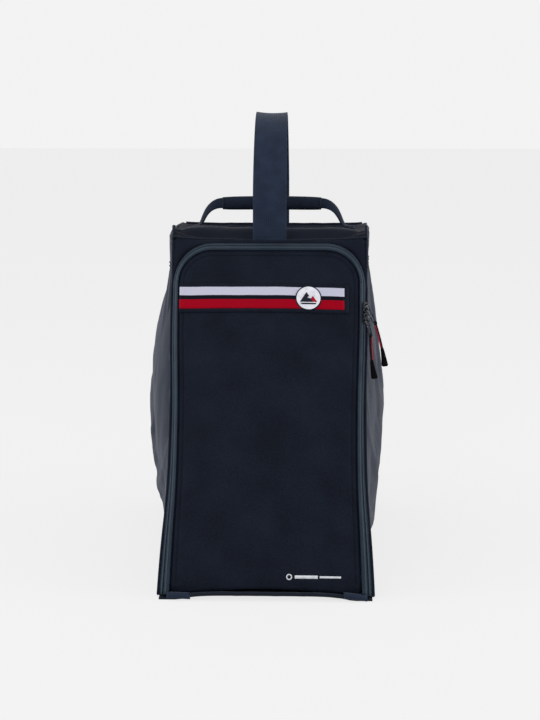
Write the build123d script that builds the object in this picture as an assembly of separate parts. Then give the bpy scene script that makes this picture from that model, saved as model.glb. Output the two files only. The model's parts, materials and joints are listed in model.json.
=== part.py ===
from build123d import *
import math
import os

# Soft wedge-shaped boot bag. Millimetres, +Z up, front towards -Y, the floor at z = 0.
# The origin is on the floor, midway between the sides and midway along the base.

# ---- Body ----
BODY_HEIGHT = 366.0  # floor to the outside of the top panel
BASE_DEPTH = 380.0  # front bottom edge to the back panel
FRONT_LEAN = 165.0  # how far the front face leans back over its height
HALF_WIDTH = 114.0  # centre plane to the side seams
SIDE_BULGE = 22.0  # how far a filled side stands out at its middle
BULGE_PEAK = 0.60  # height of the fullest point, as a share of the side panel's height
FABRIC = 2.0  # foam-backed panel
PANEL_STEPS = 12  # grid steps each way over a side panel
YOKE_DROP = 36.0  # height of the stiff band under the top edge of each side
BASE_BOARD = 2.5
BASE_BOARD_INSET = 6.0
BINDING_WIDTH = 3.5
BINDING_HEIGHT = 4.0
LOW_BINDING_HEIGHT = 2.4  # along the front and back of the top
BASE_BINDING_WIDTH = 2.1  # along the sides of the base
BASE_BINDING_HEIGHT = 2.8
BASE_BINDING_GAP = 0.4  # side panel's face to that binding
CLEAR = 0.3  # gap between neighbouring pieces
SEWN = 0.05  # gap between two pieces that are sewn face to face

# ---- Zipper band around the front: a strip that slopes from the shell up to the flap ----
BAND_WIDTH = 17.0
BAND_ANGLE = 52.0  # slope of the band against the front face, degrees
BAND_SIDE_INSET = 2.0  # side seam to the band's foot
BAND_TOP_INSET = 8.0  # top seam to the band's foot
FOLD_RADIUS = 38.0  # upper corners of the flap
TAPE = 0.9
COIL_WIDTH = 2.2
COIL_HEIGHT = 1.6
COIL_GAP = 1.4  # slit between the two closed tapes
COIL_AT = 8.5  # band's foot to the middle of the slit
TAPE_START = 6.0  # flap's lower edge to the tapes' lower ends, up the slope
TAPE_FROM_FOLD = 1.4
TAPE_FROM_FOOT = 0.2

# ---- Flap ----
FLAP_START = 8.0  # up the front face, where the flap leaves the base
FLAP_LINING = 0.8
FLAP_LINING_INSET = 9.0
RIBBON_WIDTH = 25.0
RIBBON_THICK = 0.6
RIBBON_FROM_TOP = 43.5  # flap's top edge to the ribbon's upper edge
RIBBON_LEFT_INSET = 1.0  # left fold to the ribbon's end
RIBBON_RIGHT_INSET = 18.0
RIBBON_TO_BADGE = 0.1
BADGE_RADIUS = 14.5
BADGE_THICK = 1.0
BADGE_X = 44.0

# ---- Sliders and pulls ----
SLIDER_LENGTH = 12.0
SLIDER_WIDTH = 9.0
SLIDER_PLATE = 1.1
SLIDER_ROUNDING = 2.9
SLIDER_EDGE = 0.4
UNDER_PLATE_WIDTH = 8.1
UNDER_PLATE_ROUNDING = 2.5
SLIDER_NECK = 0.8
NECK_LENGTH = 3.6
NECK_FROM_MIDDLE = 3.4
SLIDERS_MEET = 318.0  # up the front face, where the two closed sliders touch
BAIL_WIRE = 1.2
BAIL_HEIGHT = 4.4
BAIL_LENGTH = 8.0
LINK_PLAY = 0.2  # extra lift of the link's wire off the slider
LINK_SEAT = 1.2  # slider's middle down to the link's top wire
LINK_LENGTH = 20.0
LINK_WIDTH = 6.8
LINK_WIRE = 1.3
LINK_CORNER = 1.3
RIBBON_EYE = 0.85  # play between the link's wire and the ribbon folded round it
RIBBON_SKIN = 0.8
PULL_LENGTH = 29.0
PULL_WIDTH = 2.4
PULL_THICK = 1.6
END_LENGTH = 21.0
END_WIDTH = 9.0
END_THICK = 3.0
END_OVERLAP = 4.0  # how far the grip runs up over the ribbon
END_SHOULDER = 1.2  # how far the grip's narrow end stands out each side of the ribbon
END_ROUNDING = 0.9
POCKET_PLAY = 1.0
# How each pull lies, in degrees: link outward, link off the band, ribbon outward, ribbon off the band
UPPER_HANG = (35.0, 11.0, 14.0, 5.0)
LOWER_HANG = (7.0, 9.0, 3.0, 4.0)

# ---- Carry handle across the top ----
HANDLE_SPAN = 168.0  # between the feet
HANDLE_RISE = 38.0  # top panel to the top of the grip
HANDLE_WEBBING_WIDTH = 20.0
HANDLE_WEBBING = 2.0
HANDLE_AXIS_UP = 10.6  # top panel to the line that the handle swings about
HANDLE_LIFT = 0.4  # gap under the legs, so that they swing free
LEG_START = 4.0  # sleeve's end to where the folded webbing starts to open
LEG_KNEE = 6.0  # from there to where it turns down
LEG_OVERLAP = 0.5
HANDLE_FOOT_LENGTH = 12.0
HANDLE_FOOT_MARGIN = 3.0  # each side of the webbing
HANDLE_FOOT_THICK = 1.4
GRIP_LENGTH = 117.0
GRIP_HEIGHT = 16.0
GRIP_THICK = 11.0
GRIP_WALL = 1.6

# ---- Long strap from the front seam over to the back seam ----
STRAP_WIDTH = 38.0
STRAP_THICK = 2.0
STRAP_RISE = 139.0  # top panel to the top of the arch
STRAP_AXIS_UP = 19.8  # top panel to the line that the strap swings about
STRAP_LIFT = 0.4
FRONT_FOOT_TRIM = (1.0, 0.5)  # strap's front foot to the zipper and to the top seam
BACK_FOOT_LENGTH = 22.0

# ---- Tabs over the zipper's lower ends ----
TAB_WIDTH = 25.0
TAB_HEIGHT = 4.4
TAB_THICK = 6.0
TAB_PROUD = 1.0  # how far the tab stands in front of the base

FAR = 999.0  # reach of a block that only cuts

# ---- What follows from the driving dimensions ----
SLOPE = math.hypot(BODY_HEIGHT, FRONT_LEAN)
FRONT_Y = -BASE_DEPTH / 2
BACK_Y = BASE_DEPTH / 2
UP_Y, UP_Z = FRONT_LEAN / SLOPE, BODY_HEIGHT / SLOPE  # direction up the front face
FRONT = Plane(origin=(0, FRONT_Y, 0), x_dir=(1, 0, 0), z_dir=(0, -UP_Z, UP_Y))

BAND_OUT = BAND_WIDTH * math.cos(math.radians(BAND_ANGLE))
BAND_DEEP = BAND_WIDTH * math.sin(math.radians(BAND_ANGLE))
SHELL_TOP = (BODY_HEIGHT + BAND_DEEP * UP_Y) / UP_Z  # top seam, measured up the front face
FOOT_HALF = HALF_WIDTH - BAND_SIDE_INSET
FOOT_TOP = SHELL_TOP - BAND_TOP_INSET
FOLD_HALF = FOOT_HALF - BAND_OUT
FOLD_TOP = FOOT_TOP - BAND_OUT
SIDE_TOP = BODY_HEIGHT - YOKE_DROP


def shell_front(z, behind=0.0):
    """Y of the shell's front plane at height z, or of a plane that far behind it."""
    depth = BAND_DEEP + behind
    return FRONT_Y + (z + depth * UP_Y) / UP_Z * UP_Y + depth * UP_Z


TOP_FRONT_Y = shell_front(BODY_HEIGHT)
TOP_MID_Y = (TOP_FRONT_Y + BACK_Y) / 2


def block(x0, x1, y0, y1, z0, z1):
    """A box between two corners."""
    size = (x1 - x0, y1 - y0, z1 - z0)
    return Pos((x0 + x1) / 2, (y0 + y1) / 2, (z0 + z1) / 2) * Box(*size)


def on_front(shape):
    """A shape drawn on the front face: X across, Y up the slope, Z outwards."""
    return FRONT.location * shape


def mirrored(shape):
    return mirror(shape, about=Plane.YZ)


# ---------------------------------------------------------------- shell panels
def side_panel():
    """Right side: a wedge-shaped panel whose middle stands out."""
    grid = []
    for i in range(PANEL_STEPS + 1):
        s = i / PANEL_STEPS
        column = []
        for j in range(PANEL_STEPS + 1):
            t = j / PANEL_STEPS
            z = t * (SIDE_TOP - CLEAR)
            y = shell_front(z) * (1 - s) + BACK_Y * s
            lift = t ** (math.log(0.5) / math.log(BULGE_PEAK))
            out = SIDE_BULGE * math.sin(math.pi * s) * math.sin(math.pi * lift)
            column.append(Vector(HALF_WIDTH + out, y, z))
        grid.append(column)
    face = Face.make_surface_from_array_of_points(grid, tol=0.01)
    return extrude(face, amount=FABRIC, dir=(1, 0, 0))


def side_yoke():
    """Right side: the flat stiff band under the top edge."""
    low, high = SIDE_TOP, BODY_HEIGHT
    corners = [
        (shell_front(low), low),
        (BACK_Y, low),
        (BACK_Y, high),
        (shell_front(high), high),
    ]
    outline = make_face(Polyline(*[(HALF_WIDTH, y, z) for y, z in corners], close=True))
    return extrude(outline, amount=FABRIC, dir=(1, 0, 0))


def back_panel():
    half = HALF_WIDTH - CLEAR
    return block(-half, half, BACK_Y - FABRIC, BACK_Y, FABRIC + CLEAR, BODY_HEIGHT - FABRIC - CLEAR)


def bottom_panel():
    half = HALF_WIDTH - CLEAR
    return block(-half, half, FRONT_Y + TAB_THICK, BACK_Y, 0, FABRIC)


def base_board():
    half = HALF_WIDTH - BASE_BOARD_INSET
    low = FABRIC + CLEAR
    front = shell_front(low + BASE_BOARD, FABRIC + BASE_BOARD_INSET)
    return block(-half, half, front, BACK_Y - BASE_BOARD_INSET, low, low + BASE_BOARD)


def top_panel():
    half = HALF_WIDTH - CLEAR
    low = BODY_HEIGHT - FABRIC
    corners = [
        (shell_front(low, FABRIC + CLEAR), low),
        (BACK_Y, low),
        (BACK_Y, BODY_HEIGHT),
        (shell_front(BODY_HEIGHT, FABRIC + CLEAR), BODY_HEIGHT),
    ]
    outline = make_face(Polyline(*[(-half, y, z) for y, z in corners], close=True))
    return extrude(outline, amount=2 * half, dir=(1, 0, 0))


# ---------------------------------------------------------------- zipper band
def fold_line(start):
    """The flap's outer fold: up one side, round two corners and down the other."""
    corners = [
        (-FOLD_HALF, start),
        (-FOLD_HALF, FOLD_TOP),
        (FOLD_HALF, FOLD_TOP),
        (FOLD_HALF, start),
    ]
    return FilletPolyline(*corners, radius=FOLD_RADIUS)


def band_strip(inner, outer, low, high):
    """A strip swept round the opening, from inner to outer across the sloping band.

    Distances run from the fold outwards along the band, and low and high stand off it.
    """
    angle, start = math.radians(BAND_ANGLE), FLAP_START + TAPE_START
    points = []
    for across, off in ((inner, low), (outer, low), (outer, high), (inner, high)):
        out = across * math.cos(angle) + off * math.sin(angle)
        up = -across * math.sin(angle) + off * math.cos(angle)
        points.append((-FOLD_HALF - out, start, up))
    profile = make_face(Polyline(*points, close=True))
    return on_front(sweep(profile, path=fold_line(start)))


SLIT = BAND_WIDTH - COIL_AT  # fold to the middle of the slit, along the band


def zip_tape_outer():
    return band_strip(SLIT + COIL_GAP / 2, BAND_WIDTH - TAPE_FROM_FOOT, -TAPE, 0)


def zip_coil_outer():
    inner = SLIT + COIL_GAP / 2
    return band_strip(inner, inner + COIL_WIDTH, -TAPE - COIL_HEIGHT, -TAPE)


def zip_tape_flap():
    return band_strip(TAPE_FROM_FOLD, SLIT - COIL_GAP / 2, -TAPE, 0)


def zip_coil_flap():
    outer = SLIT - COIL_GAP / 2
    return band_strip(outer - COIL_WIDTH, outer, -TAPE - COIL_HEIGHT, -TAPE)


def front_surround():
    """The inverted U of shell fabric that the outer tape is sewn to."""
    low = (FABRIC + CLEAR + (BAND_DEEP + FABRIC) * UP_Y) / UP_Z
    half = HALF_WIDTH - CLEAR
    whole = Pos(0, (low + SHELL_TOP) / 2) * Rectangle(2 * half, SHELL_TOP - low)
    opening_top = FOOT_TOP + SEWN
    opening_low = low - 3 * FOLD_RADIUS  # below the sheet, so that only two corners are round
    opening = Pos(0, (opening_low + opening_top) / 2) * RectangleRounded(
        2 * (FOOT_HALF + SEWN), opening_top - opening_low, FOLD_RADIUS + BAND_OUT
    )
    sheet = extrude(whole - opening, amount=FABRIC)
    return on_front(Pos(0, 0, -BAND_DEEP - FABRIC) * sheet)


def zip_end_tab():
    """Right side: the folded tab over the zipper's lower end, under the flap's corner."""
    outer = HALF_WIDTH - CLEAR
    front = FRONT_Y - TAB_PROUD
    return block(outer - TAB_WIDTH, outer, front, FRONT_Y + TAB_THICK - CLEAR, 0, TAB_HEIGHT)


# ---------------------------------------------------------------- bindings
def top_binding_side():
    inner = HALF_WIDTH + FABRIC - BINDING_WIDTH
    low = BODY_HEIGHT + SEWN
    return block(inner, inner + BINDING_WIDTH, TOP_FRONT_Y, BACK_Y, low, low + BINDING_HEIGHT)


def top_binding_across(y_inner, y_outer):
    half = HALF_WIDTH + FABRIC - BINDING_WIDTH - CLEAR
    low = BODY_HEIGHT + SEWN
    return block(-half, half, y_inner, y_outer, low, low + LOW_BINDING_HEIGHT)


def top_binding_front():
    start = shell_front(BODY_HEIGHT, FABRIC + CLEAR)
    return top_binding_across(start, start + BINDING_WIDTH)


def top_binding_back():
    return top_binding_across(BACK_Y - BINDING_WIDTH, BACK_Y)


def back_binding():
    """Right side: the bound corner seam down the back."""
    low, high = FABRIC + BINDING_WIDTH, BODY_HEIGHT
    inner = HALF_WIDTH + FABRIC - BINDING_WIDTH
    return block(inner, inner + BINDING_WIDTH, BACK_Y + SEWN, BACK_Y + BINDING_WIDTH, low, high)


def bottom_binding_back():
    half = HALF_WIDTH + FABRIC
    return block(-half, half, BACK_Y + SEWN, BACK_Y + BINDING_WIDTH, 0, FABRIC + BINDING_WIDTH - CLEAR)


def bottom_binding_side():
    """Right side: the bound seam along the base, outside the side panel's lower edge."""
    inner = HALF_WIDTH + FABRIC + BASE_BINDING_GAP
    front = shell_front(0)
    return block(inner, inner + BASE_BINDING_WIDTH, front, BACK_Y, 0, BASE_BINDING_HEIGHT)


def bottom_binding_front():
    half = HALF_WIDTH - TAB_WIDTH - 2 * CLEAR
    return block(-half, half, FRONT_Y, FRONT_Y + TAB_THICK - CLEAR, 0, TAB_HEIGHT)


# ---------------------------------------------------------------- flap
def flap_outline(inset, start):
    """Flap shape with two round upper corners."""
    half, top = FOLD_HALF - inset, FOLD_TOP - inset
    sheet = Pos(0, (start + top) / 2) * Rectangle(2 * half, top - start)
    upper = sheet.vertices().sort_by(Axis.Y)[2:]
    return fillet(upper, FOLD_RADIUS - inset)


def flap_panel():
    sheet = extrude(flap_outline(0, FLAP_START), amount=FABRIC)
    return on_front(Pos(0, 0, -FABRIC) * sheet)


def flap_lining():
    sheet = extrude(flap_outline(FLAP_LINING_INSET, FLAP_START + FLAP_LINING_INSET), amount=FLAP_LINING)
    return on_front(Pos(0, 0, -FABRIC - CLEAR - FLAP_LINING) * sheet)


def stripe_ribbon():
    left, right = -FOLD_HALF + RIBBON_LEFT_INSET, FOLD_HALF - RIBBON_RIGHT_INSET
    middle = FOLD_TOP - RIBBON_FROM_TOP - RIBBON_WIDTH / 2
    place = Pos((left + right) / 2, middle, RIBBON_THICK / 2 + SEWN)
    return on_front(place * Box(right - left, RIBBON_WIDTH, RIBBON_THICK))


def badge_patch():
    middle = FOLD_TOP - RIBBON_FROM_TOP - RIBBON_WIDTH / 2
    low = RIBBON_THICK + RIBBON_TO_BADGE
    disc = Cylinder(BADGE_RADIUS, BADGE_THICK, align=(Align.CENTER, Align.CENTER, Align.MIN))
    return on_front(Pos(BADGE_X, middle, low) * disc)


# ---------------------------------------------------------------- sliders and pulls
def on_band(up, shape):
    """A shape on the right-hand run of the slit: X outwards, Y up the slope, Z off the band."""
    angle = math.radians(BAND_ANGLE)
    across = FOLD_HALF + SLIT * math.cos(angle)
    place = Pos(across, up, -SLIT * math.sin(angle)) * Rot(0, BAND_ANGLE, 0)
    return on_front(place * shape)


def slider_body(up, nose):
    """Two plates joined by a neck, with a bail; nose is +1 when the neck is at the upper end."""
    resting = (Align.CENTER, Align.CENTER, Align.MIN)
    top = Pos(0, 0, CLEAR) * Box(SLIDER_WIDTH, SLIDER_LENGTH, SLIDER_PLATE, align=resting)
    top = fillet(top.edges().filter_by(Axis.Z), SLIDER_ROUNDING)
    top = chamfer(top.faces().sort_by(Axis.Z)[-1].edges(), SLIDER_EDGE)
    under = -TAPE - COIL_HEIGHT - CLEAR - SLIDER_PLATE
    bottom = Pos(0, 0, under) * Box(UNDER_PLATE_WIDTH, SLIDER_LENGTH, SLIDER_PLATE, align=resting)
    bottom = fillet(bottom.edges().filter_by(Axis.Z), UNDER_PLATE_ROUNDING)
    neck = Pos(0, nose * NECK_FROM_MIDDLE, under + SLIDER_PLATE / 2) * Box(
        SLIDER_NECK, NECK_LENGTH, CLEAR - under, align=resting
    )
    floor = CLEAR + SLIDER_PLATE
    outer = Pos(0, 0, floor) * bail_arch(BAIL_LENGTH, BAIL_HEIGHT)
    inner = Pos(0, 0, floor) * bail_arch(BAIL_LENGTH - 2 * BAIL_WIRE, BAIL_HEIGHT - BAIL_WIRE)
    return on_band(up, top + bottom + neck + (outer - inner))


def bail_arch(length, height):
    """An arch-shaped block along the slider, flat below."""
    side = Plane.YZ * Ellipse(length / 2, height)
    solid = extrude(side, amount=BAIL_WIRE / 2, both=True)
    keep = Box(4 * BAIL_WIRE, 2 * length, height + 1, align=(Align.CENTER, Align.CENTER, Align.MIN))
    return solid & keep


def link_at():
    """Height of the link's wire off the band, inside the bail."""
    return CLEAR + SLIDER_PLATE + CLEAR + LINK_WIRE / 2 + LINK_PLAY


def link_place(hang):
    """The link's frame: its top wire at the origin, the link running down along -Y."""
    return Pos(0, -LINK_SEAT, link_at()) * Rot(0, 0, hang[0]) * Rot(-hang[1], 0, 0)


def ribbon_place(hang):
    """The ribbon's frame, with the link's lower wire at the origin."""
    lower_wire = link_place(hang) * Pos(0, LINK_WIRE - LINK_LENGTH)
    turn = Rot(hang[1], 0, 0) * Rot(0, 0, hang[2] - hang[0]) * Rot(-hang[3], 0, 0)
    return lower_wire * turn


def pull_link(up, hang):
    """A long closed loop of round wire."""
    width, length = LINK_WIDTH - LINK_WIRE, LINK_LENGTH - LINK_WIRE
    outline = (Pos(0, -length / 2) * RectangleRounded(width, length, LINK_CORNER)).face().outer_wire()
    section = Plane(origin=outline.position_at(0), z_dir=outline.tangent_at(0)) * Circle(LINK_WIRE / 2)
    return on_band(up, link_place(hang) * sweep(section, path=outline))


def pull_ribbon(up, hang):
    """A folded ribbon that wraps the link's lower wire."""
    hole = LINK_WIRE / 2 + RIBBON_EYE
    loop = Rot(0, 90, 0) * (Cylinder(hole + RIBBON_SKIN, PULL_WIDTH) - Cylinder(hole, PULL_WIDTH + 1))
    half, thick = PULL_WIDTH / 2, PULL_THICK / 2
    tail = block(-half, half, -PULL_LENGTH, -hole - RIBBON_SKIN / 2, -thick, thick)
    return on_band(up, ribbon_place(hang) * (loop + tail))


def pull_end(up, hang):
    """The flared moulded grip at the ribbon's tip."""
    start, narrow, wide = END_OVERLAP - PULL_LENGTH, PULL_WIDTH / 2 + END_SHOULDER, END_WIDTH / 2
    tip = start - END_LENGTH
    corners = [(-narrow, start), (narrow, start), (wide, tip), (-wide, tip)]
    body = extrude(make_face(Polyline(*corners, close=True)), amount=END_THICK / 2, both=True)
    body = fillet(body.edges().filter_by(Axis.Z), END_ROUNDING)
    half, thick = PULL_WIDTH / 2, PULL_THICK / 2
    pocket = block(-half, half, -PULL_LENGTH, start + POCKET_PLAY, -thick, thick)
    return on_band(up, ribbon_place(hang) * (body - pocket))


# ---------------------------------------------------------------- handle and strap
def handle_webbing():
    """A band that rises from two feet and is folded to a bar between them."""
    axis_z = BODY_HEIGHT + HANDLE_AXIS_UP
    bar_half, bar_y = GRIP_LENGTH / 2 + LEG_START, GRIP_THICK / 2 - GRIP_WALL - CLEAR
    bar_z = BODY_HEIGHT + HANDLE_RISE - GRIP_HEIGHT / 2
    bar_high = GRIP_HEIGHT / 2 - GRIP_WALL - CLEAR
    foot_x, foot_z = HANDLE_SPAN / 2, BODY_HEIGHT + HANDLE_LIFT
    outline = [
        (foot_x, foot_z),
        (foot_x, axis_z),
        (bar_half + LEG_KNEE, bar_z + HANDLE_WEBBING),
        (bar_half, bar_z + HANDLE_WEBBING),
        (bar_half, bar_z),
        (bar_half + LEG_KNEE - 1.0, bar_z),
        (foot_x - HANDLE_WEBBING, axis_z),
        (foot_x - HANDLE_WEBBING, foot_z),
    ]
    leg = make_face(Plane.XZ * Polyline(*outline, close=True))
    leg = extrude(leg, amount=HANDLE_WEBBING_WIDTH / 2, both=True)
    disc = Pos(0, 0, axis_z) * Rot(0, 90, 0) * Cylinder(HANDLE_WEBBING_WIDTH / 2, 4 * foot_x)
    above = block(-FAR, FAR, -FAR, FAR, axis_z, FAR)
    leg = leg & (disc + above)
    end = bar_half + LEG_OVERLAP
    bar = block(-end, end, -bar_y, bar_y, bar_z - bar_high, bar_z + bar_high)
    return Pos(0, TOP_MID_Y, 0) * (leg + mirrored(leg) + bar)


def handle_grip():
    middle = BODY_HEIGHT + HANDLE_RISE - GRIP_HEIGHT / 2
    sleeve = Box(GRIP_LENGTH, GRIP_THICK, GRIP_HEIGHT)
    sleeve = fillet(sleeve.edges().filter_by(Axis.X), GRIP_THICK * 0.35)
    hole = Box(GRIP_LENGTH + 1, GRIP_THICK - 2 * GRIP_WALL, GRIP_HEIGHT - 2 * GRIP_WALL)
    return Pos(0, TOP_MID_Y, middle) * (sleeve - hole)


def handle_foot():
    """Right side: the webbing's end, sewn flat to the top panel."""
    outer = HANDLE_SPAN / 2 + HANDLE_FOOT_LENGTH
    half = HANDLE_WEBBING_WIDTH / 2 + HANDLE_FOOT_MARGIN
    low = BODY_HEIGHT + SEWN
    inner = HANDLE_SPAN / 2 + CLEAR
    return block(inner, outer, TOP_MID_Y - half, TOP_MID_Y + half, low, low + HANDLE_FOOT_THICK)


def strap_webbing():
    """An arch from the front seam to the back seam, with round lower ends."""
    front = TOP_FRONT_Y - STRAP_THICK / 2 - CLEAR
    back = BACK_Y + BINDING_WIDTH + CLEAR + STRAP_THICK / 2
    radius = (back - front) / 2
    middle = (front + back) / 2
    low = BODY_HEIGHT + STRAP_LIFT
    shoulder = BODY_HEIGHT + STRAP_RISE - radius - STRAP_THICK / 2

    def arch(r):
        legs = Pos(middle, (low + shoulder) / 2) * Rectangle(2 * r, shoulder - low)
        return legs + (Pos(middle, shoulder) * Circle(r) & Pos(middle, shoulder + r) * Rectangle(2 * r, 2 * r))

    ring = arch(radius + STRAP_THICK / 2) - arch(radius - STRAP_THICK / 2)
    band = extrude(Plane.YZ * ring, amount=STRAP_WIDTH / 2, both=True)
    axis_z = BODY_HEIGHT + STRAP_AXIS_UP
    disc = Pos(0, middle, axis_z) * Rot(90, 0, 0) * Cylinder(STRAP_WIDTH / 2, 4 * radius)
    above = block(-FAR, FAR, -FAR, FAR, axis_z, FAR)
    return band & (disc + above)


def strap_foot_front():
    """The strap's end, sewn to the surround between the zipper and the top seam."""
    low, high = FOOT_TOP + FRONT_FOOT_TRIM[0], SHELL_TOP - FRONT_FOOT_TRIM[1]
    place = Pos(0, (low + high) / 2, -BAND_DEEP + SEWN + STRAP_THICK / 2)
    return on_front(place * Box(STRAP_WIDTH, high - low, STRAP_THICK))


def strap_foot_back():
    low, high = BODY_HEIGHT - BACK_FOOT_LENGTH, BODY_HEIGHT
    half = STRAP_WIDTH / 2
    return block(-half, half, BACK_Y + SEWN, BACK_Y + STRAP_THICK, low, high)


# ---------------------------------------------------------------- all pieces
UPPER_AT = SLIDERS_MEET + SLIDER_LENGTH / 2 + CLEAR / 2
LOWER_AT = SLIDERS_MEET - SLIDER_LENGTH / 2 - CLEAR / 2

PIECES = {
    "bottom_panel": bottom_panel(),
    "base_board": base_board(),
    "back_panel": back_panel(),
    "top_panel": top_panel(),
    "side_panel_right": side_panel(),
    "side_yoke_right": side_yoke(),
    "front_surround": front_surround(),
    "zip_tape_outer": zip_tape_outer(),
    "zip_coil_outer": zip_coil_outer(),
    "zip_end_tab_right": zip_end_tab(),
    "top_binding_right": top_binding_side(),
    "top_binding_front": top_binding_front(),
    "top_binding_back": top_binding_back(),
    "back_binding_right": back_binding(),
    "bottom_binding_right": bottom_binding_side(),
    "bottom_binding_front": bottom_binding_front(),
    "bottom_binding_back": bottom_binding_back(),
    "flap_panel": flap_panel(),
    "flap_lining": flap_lining(),
    "zip_tape_flap": zip_tape_flap(),
    "zip_coil_flap": zip_coil_flap(),
    "stripe_ribbon": stripe_ribbon(),
    "badge_patch": badge_patch(),
    "slider_upper": slider_body(UPPER_AT, -1),
    "slider_lower": slider_body(LOWER_AT, 1),
    "pull_link_upper": pull_link(UPPER_AT, UPPER_HANG),
    "pull_ribbon_upper": pull_ribbon(UPPER_AT, UPPER_HANG),
    "pull_end_upper": pull_end(UPPER_AT, UPPER_HANG),
    "pull_link_lower": pull_link(LOWER_AT, LOWER_HANG),
    "pull_ribbon_lower": pull_ribbon(LOWER_AT, LOWER_HANG),
    "pull_end_lower": pull_end(LOWER_AT, LOWER_HANG),
    "handle_webbing": handle_webbing(),
    "handle_grip": handle_grip(),
    "handle_foot_right": handle_foot(),
    "strap_webbing": strap_webbing(),
    "strap_foot_front": strap_foot_front(),
    "strap_foot_back": strap_foot_back(),
}
for right in [name for name in PIECES if name.endswith("_right")]:
    PIECES[right[: -len("right")] + "left"] = mirrored(PIECES[right])

os.makedirs("parts", exist_ok=True)
for name, piece in PIECES.items():
    export_step(piece, f"parts/{name}.step")
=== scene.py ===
import bpy
import bmesh
import json
import math
import numpy as np
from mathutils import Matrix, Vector, noise


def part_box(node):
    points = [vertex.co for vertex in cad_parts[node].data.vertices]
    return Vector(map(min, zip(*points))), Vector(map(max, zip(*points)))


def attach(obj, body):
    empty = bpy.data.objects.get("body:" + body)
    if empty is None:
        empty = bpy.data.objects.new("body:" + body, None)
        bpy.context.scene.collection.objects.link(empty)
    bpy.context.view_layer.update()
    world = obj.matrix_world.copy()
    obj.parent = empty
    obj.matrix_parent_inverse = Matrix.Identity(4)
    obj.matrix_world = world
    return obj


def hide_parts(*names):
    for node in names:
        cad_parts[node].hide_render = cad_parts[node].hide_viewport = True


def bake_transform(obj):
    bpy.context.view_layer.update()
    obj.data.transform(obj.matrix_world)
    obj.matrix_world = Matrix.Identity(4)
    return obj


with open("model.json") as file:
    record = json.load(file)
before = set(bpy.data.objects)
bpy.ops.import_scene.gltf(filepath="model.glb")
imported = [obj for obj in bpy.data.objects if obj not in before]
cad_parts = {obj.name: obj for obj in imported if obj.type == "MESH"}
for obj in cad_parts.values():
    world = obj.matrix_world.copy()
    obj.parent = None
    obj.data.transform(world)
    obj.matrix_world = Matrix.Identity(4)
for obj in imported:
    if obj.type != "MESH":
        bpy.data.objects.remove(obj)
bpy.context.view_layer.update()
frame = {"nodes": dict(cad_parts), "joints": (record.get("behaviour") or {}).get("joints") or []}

# ============================================================ sizes, in millimetres, from the frame
MM = 0.001


def low(node):
    return np.array(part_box(node)[0]) / MM


def high(node):
    return np.array(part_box(node)[1]) / MM


JOINTS = {joint["name"]: joint for joint in frame["joints"]}
SLOPE_UP = np.array(JOINTS["lower_slider_slide"]["axis"])  # up the leaning front face
SLOPE_OUT = np.array([0.0, -SLOPE_UP[2], SLOPE_UP[1]])  # out of it
FRONT_Y = low("bottom_binding_front")[1]
BACK_Y = high("back_panel")[1]
TOP_Z = high("top_panel")[2]
YOKE_Z = low("side_yoke_right")[2]
SEAM_X = high("side_yoke_right")[0]
FOLD_X = high("flap_panel")[0]
FOLD_TOP = high("flap_panel")[2] / SLOPE_UP[2]
FOLD_RADIUS = 38.0
FLAP_LOW = 7.0
BAND_ANGLE = math.radians(52.0)  # the zipper band slopes back from the flap, as the sliders are set
BAND_OUT = high("zip_tape_outer")[0] - FOLD_X
BAND_WIDTH = BAND_OUT / math.cos(BAND_ANGLE)
BAND_DEEP = BAND_WIDTH * math.sin(BAND_ANGLE)
SLIT_FROM_FOOT = 8.5
SLIT_GAP = 1.6
SHELL_TOP = (TOP_Z + BAND_DEEP * SLOPE_UP[1]) / SLOPE_UP[2]  # the top seam, up the front face
FABRIC = 1.4
YOKE_THICK = 2.2
LINING_THICK = 0.5
TAPE_THICK = 0.7
STRAP_THICK, HANDLE_THICK, TAB_THICK = 1.6, 1.5, 1.3
FLAP_CROWN = 6.0
SIDE_BULGE = {-1: 28.0, 1: 17.5}
SIDE_PUFF = {-1: 4.5, 1: 1.5}  # how fast a side swells just behind its front seam
TOP_CROWN = 15.0
BACK_SAG = 5.0  # how far the top has sunk at its back edge
BASE_FLARE = 2.4  # how much each side of the base widens behind its front corners
EAR = 2.6  # how far the front corners of the top stand above the seam between them
# Up the front face: the fold's half width, the band's slope and the side seam's half width
HEIGHTS = (0.0, 60.0, 130.0, 210.0, 300.0, 350.0, 400.0)
FOLD_SHIFT = (1.0, -0.4, -3.2, -3.0, -0.2, 0.0, 0.0)
BAND_SLOPE = (36.0, 48.0, 60.0, 65.0, 63.0, 66.0, 66.0)
TOP_SLOPE = 45.0
SEAM_HALF = (112.8, 112.2, 107.8, 107.2, 108.2, 108.4, 109.6)


def back_sag(a):
    """How far the back edge of the top has sunk, a share a of the way out from its middle."""
    return BACK_SAG * (1 - 0.4 * a**8)


def front(u, w, n):
    """A point on the front face: across, up the slope, and out of it."""
    return np.array([u, FRONT_Y, 0.0]) + w * SLOPE_UP + n * SLOPE_OUT


def smooth(x):
    x = min(1.0, max(0.0, x))
    return x * x * (3 - 2 * x)


def ripple(x, y, z, size, seed=0.0):
    """Gentle noise between about -1 and 1 that varies over size millimetres."""
    return noise.noise(Vector((x / size + seed, y / size - seed, z / size + 2 * seed)))


# ============================================================ materials
def colour(hexa):
    """An sRGB hex colour as linear RGBA."""
    parts = [int(hexa[i : i + 2], 16) / 255 for i in (1, 3, 5)]
    return (*[c / 12.92 if c <= 0.04045 else ((c + 0.055) / 1.055) ** 2.4 for c in parts], 1.0)


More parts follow.
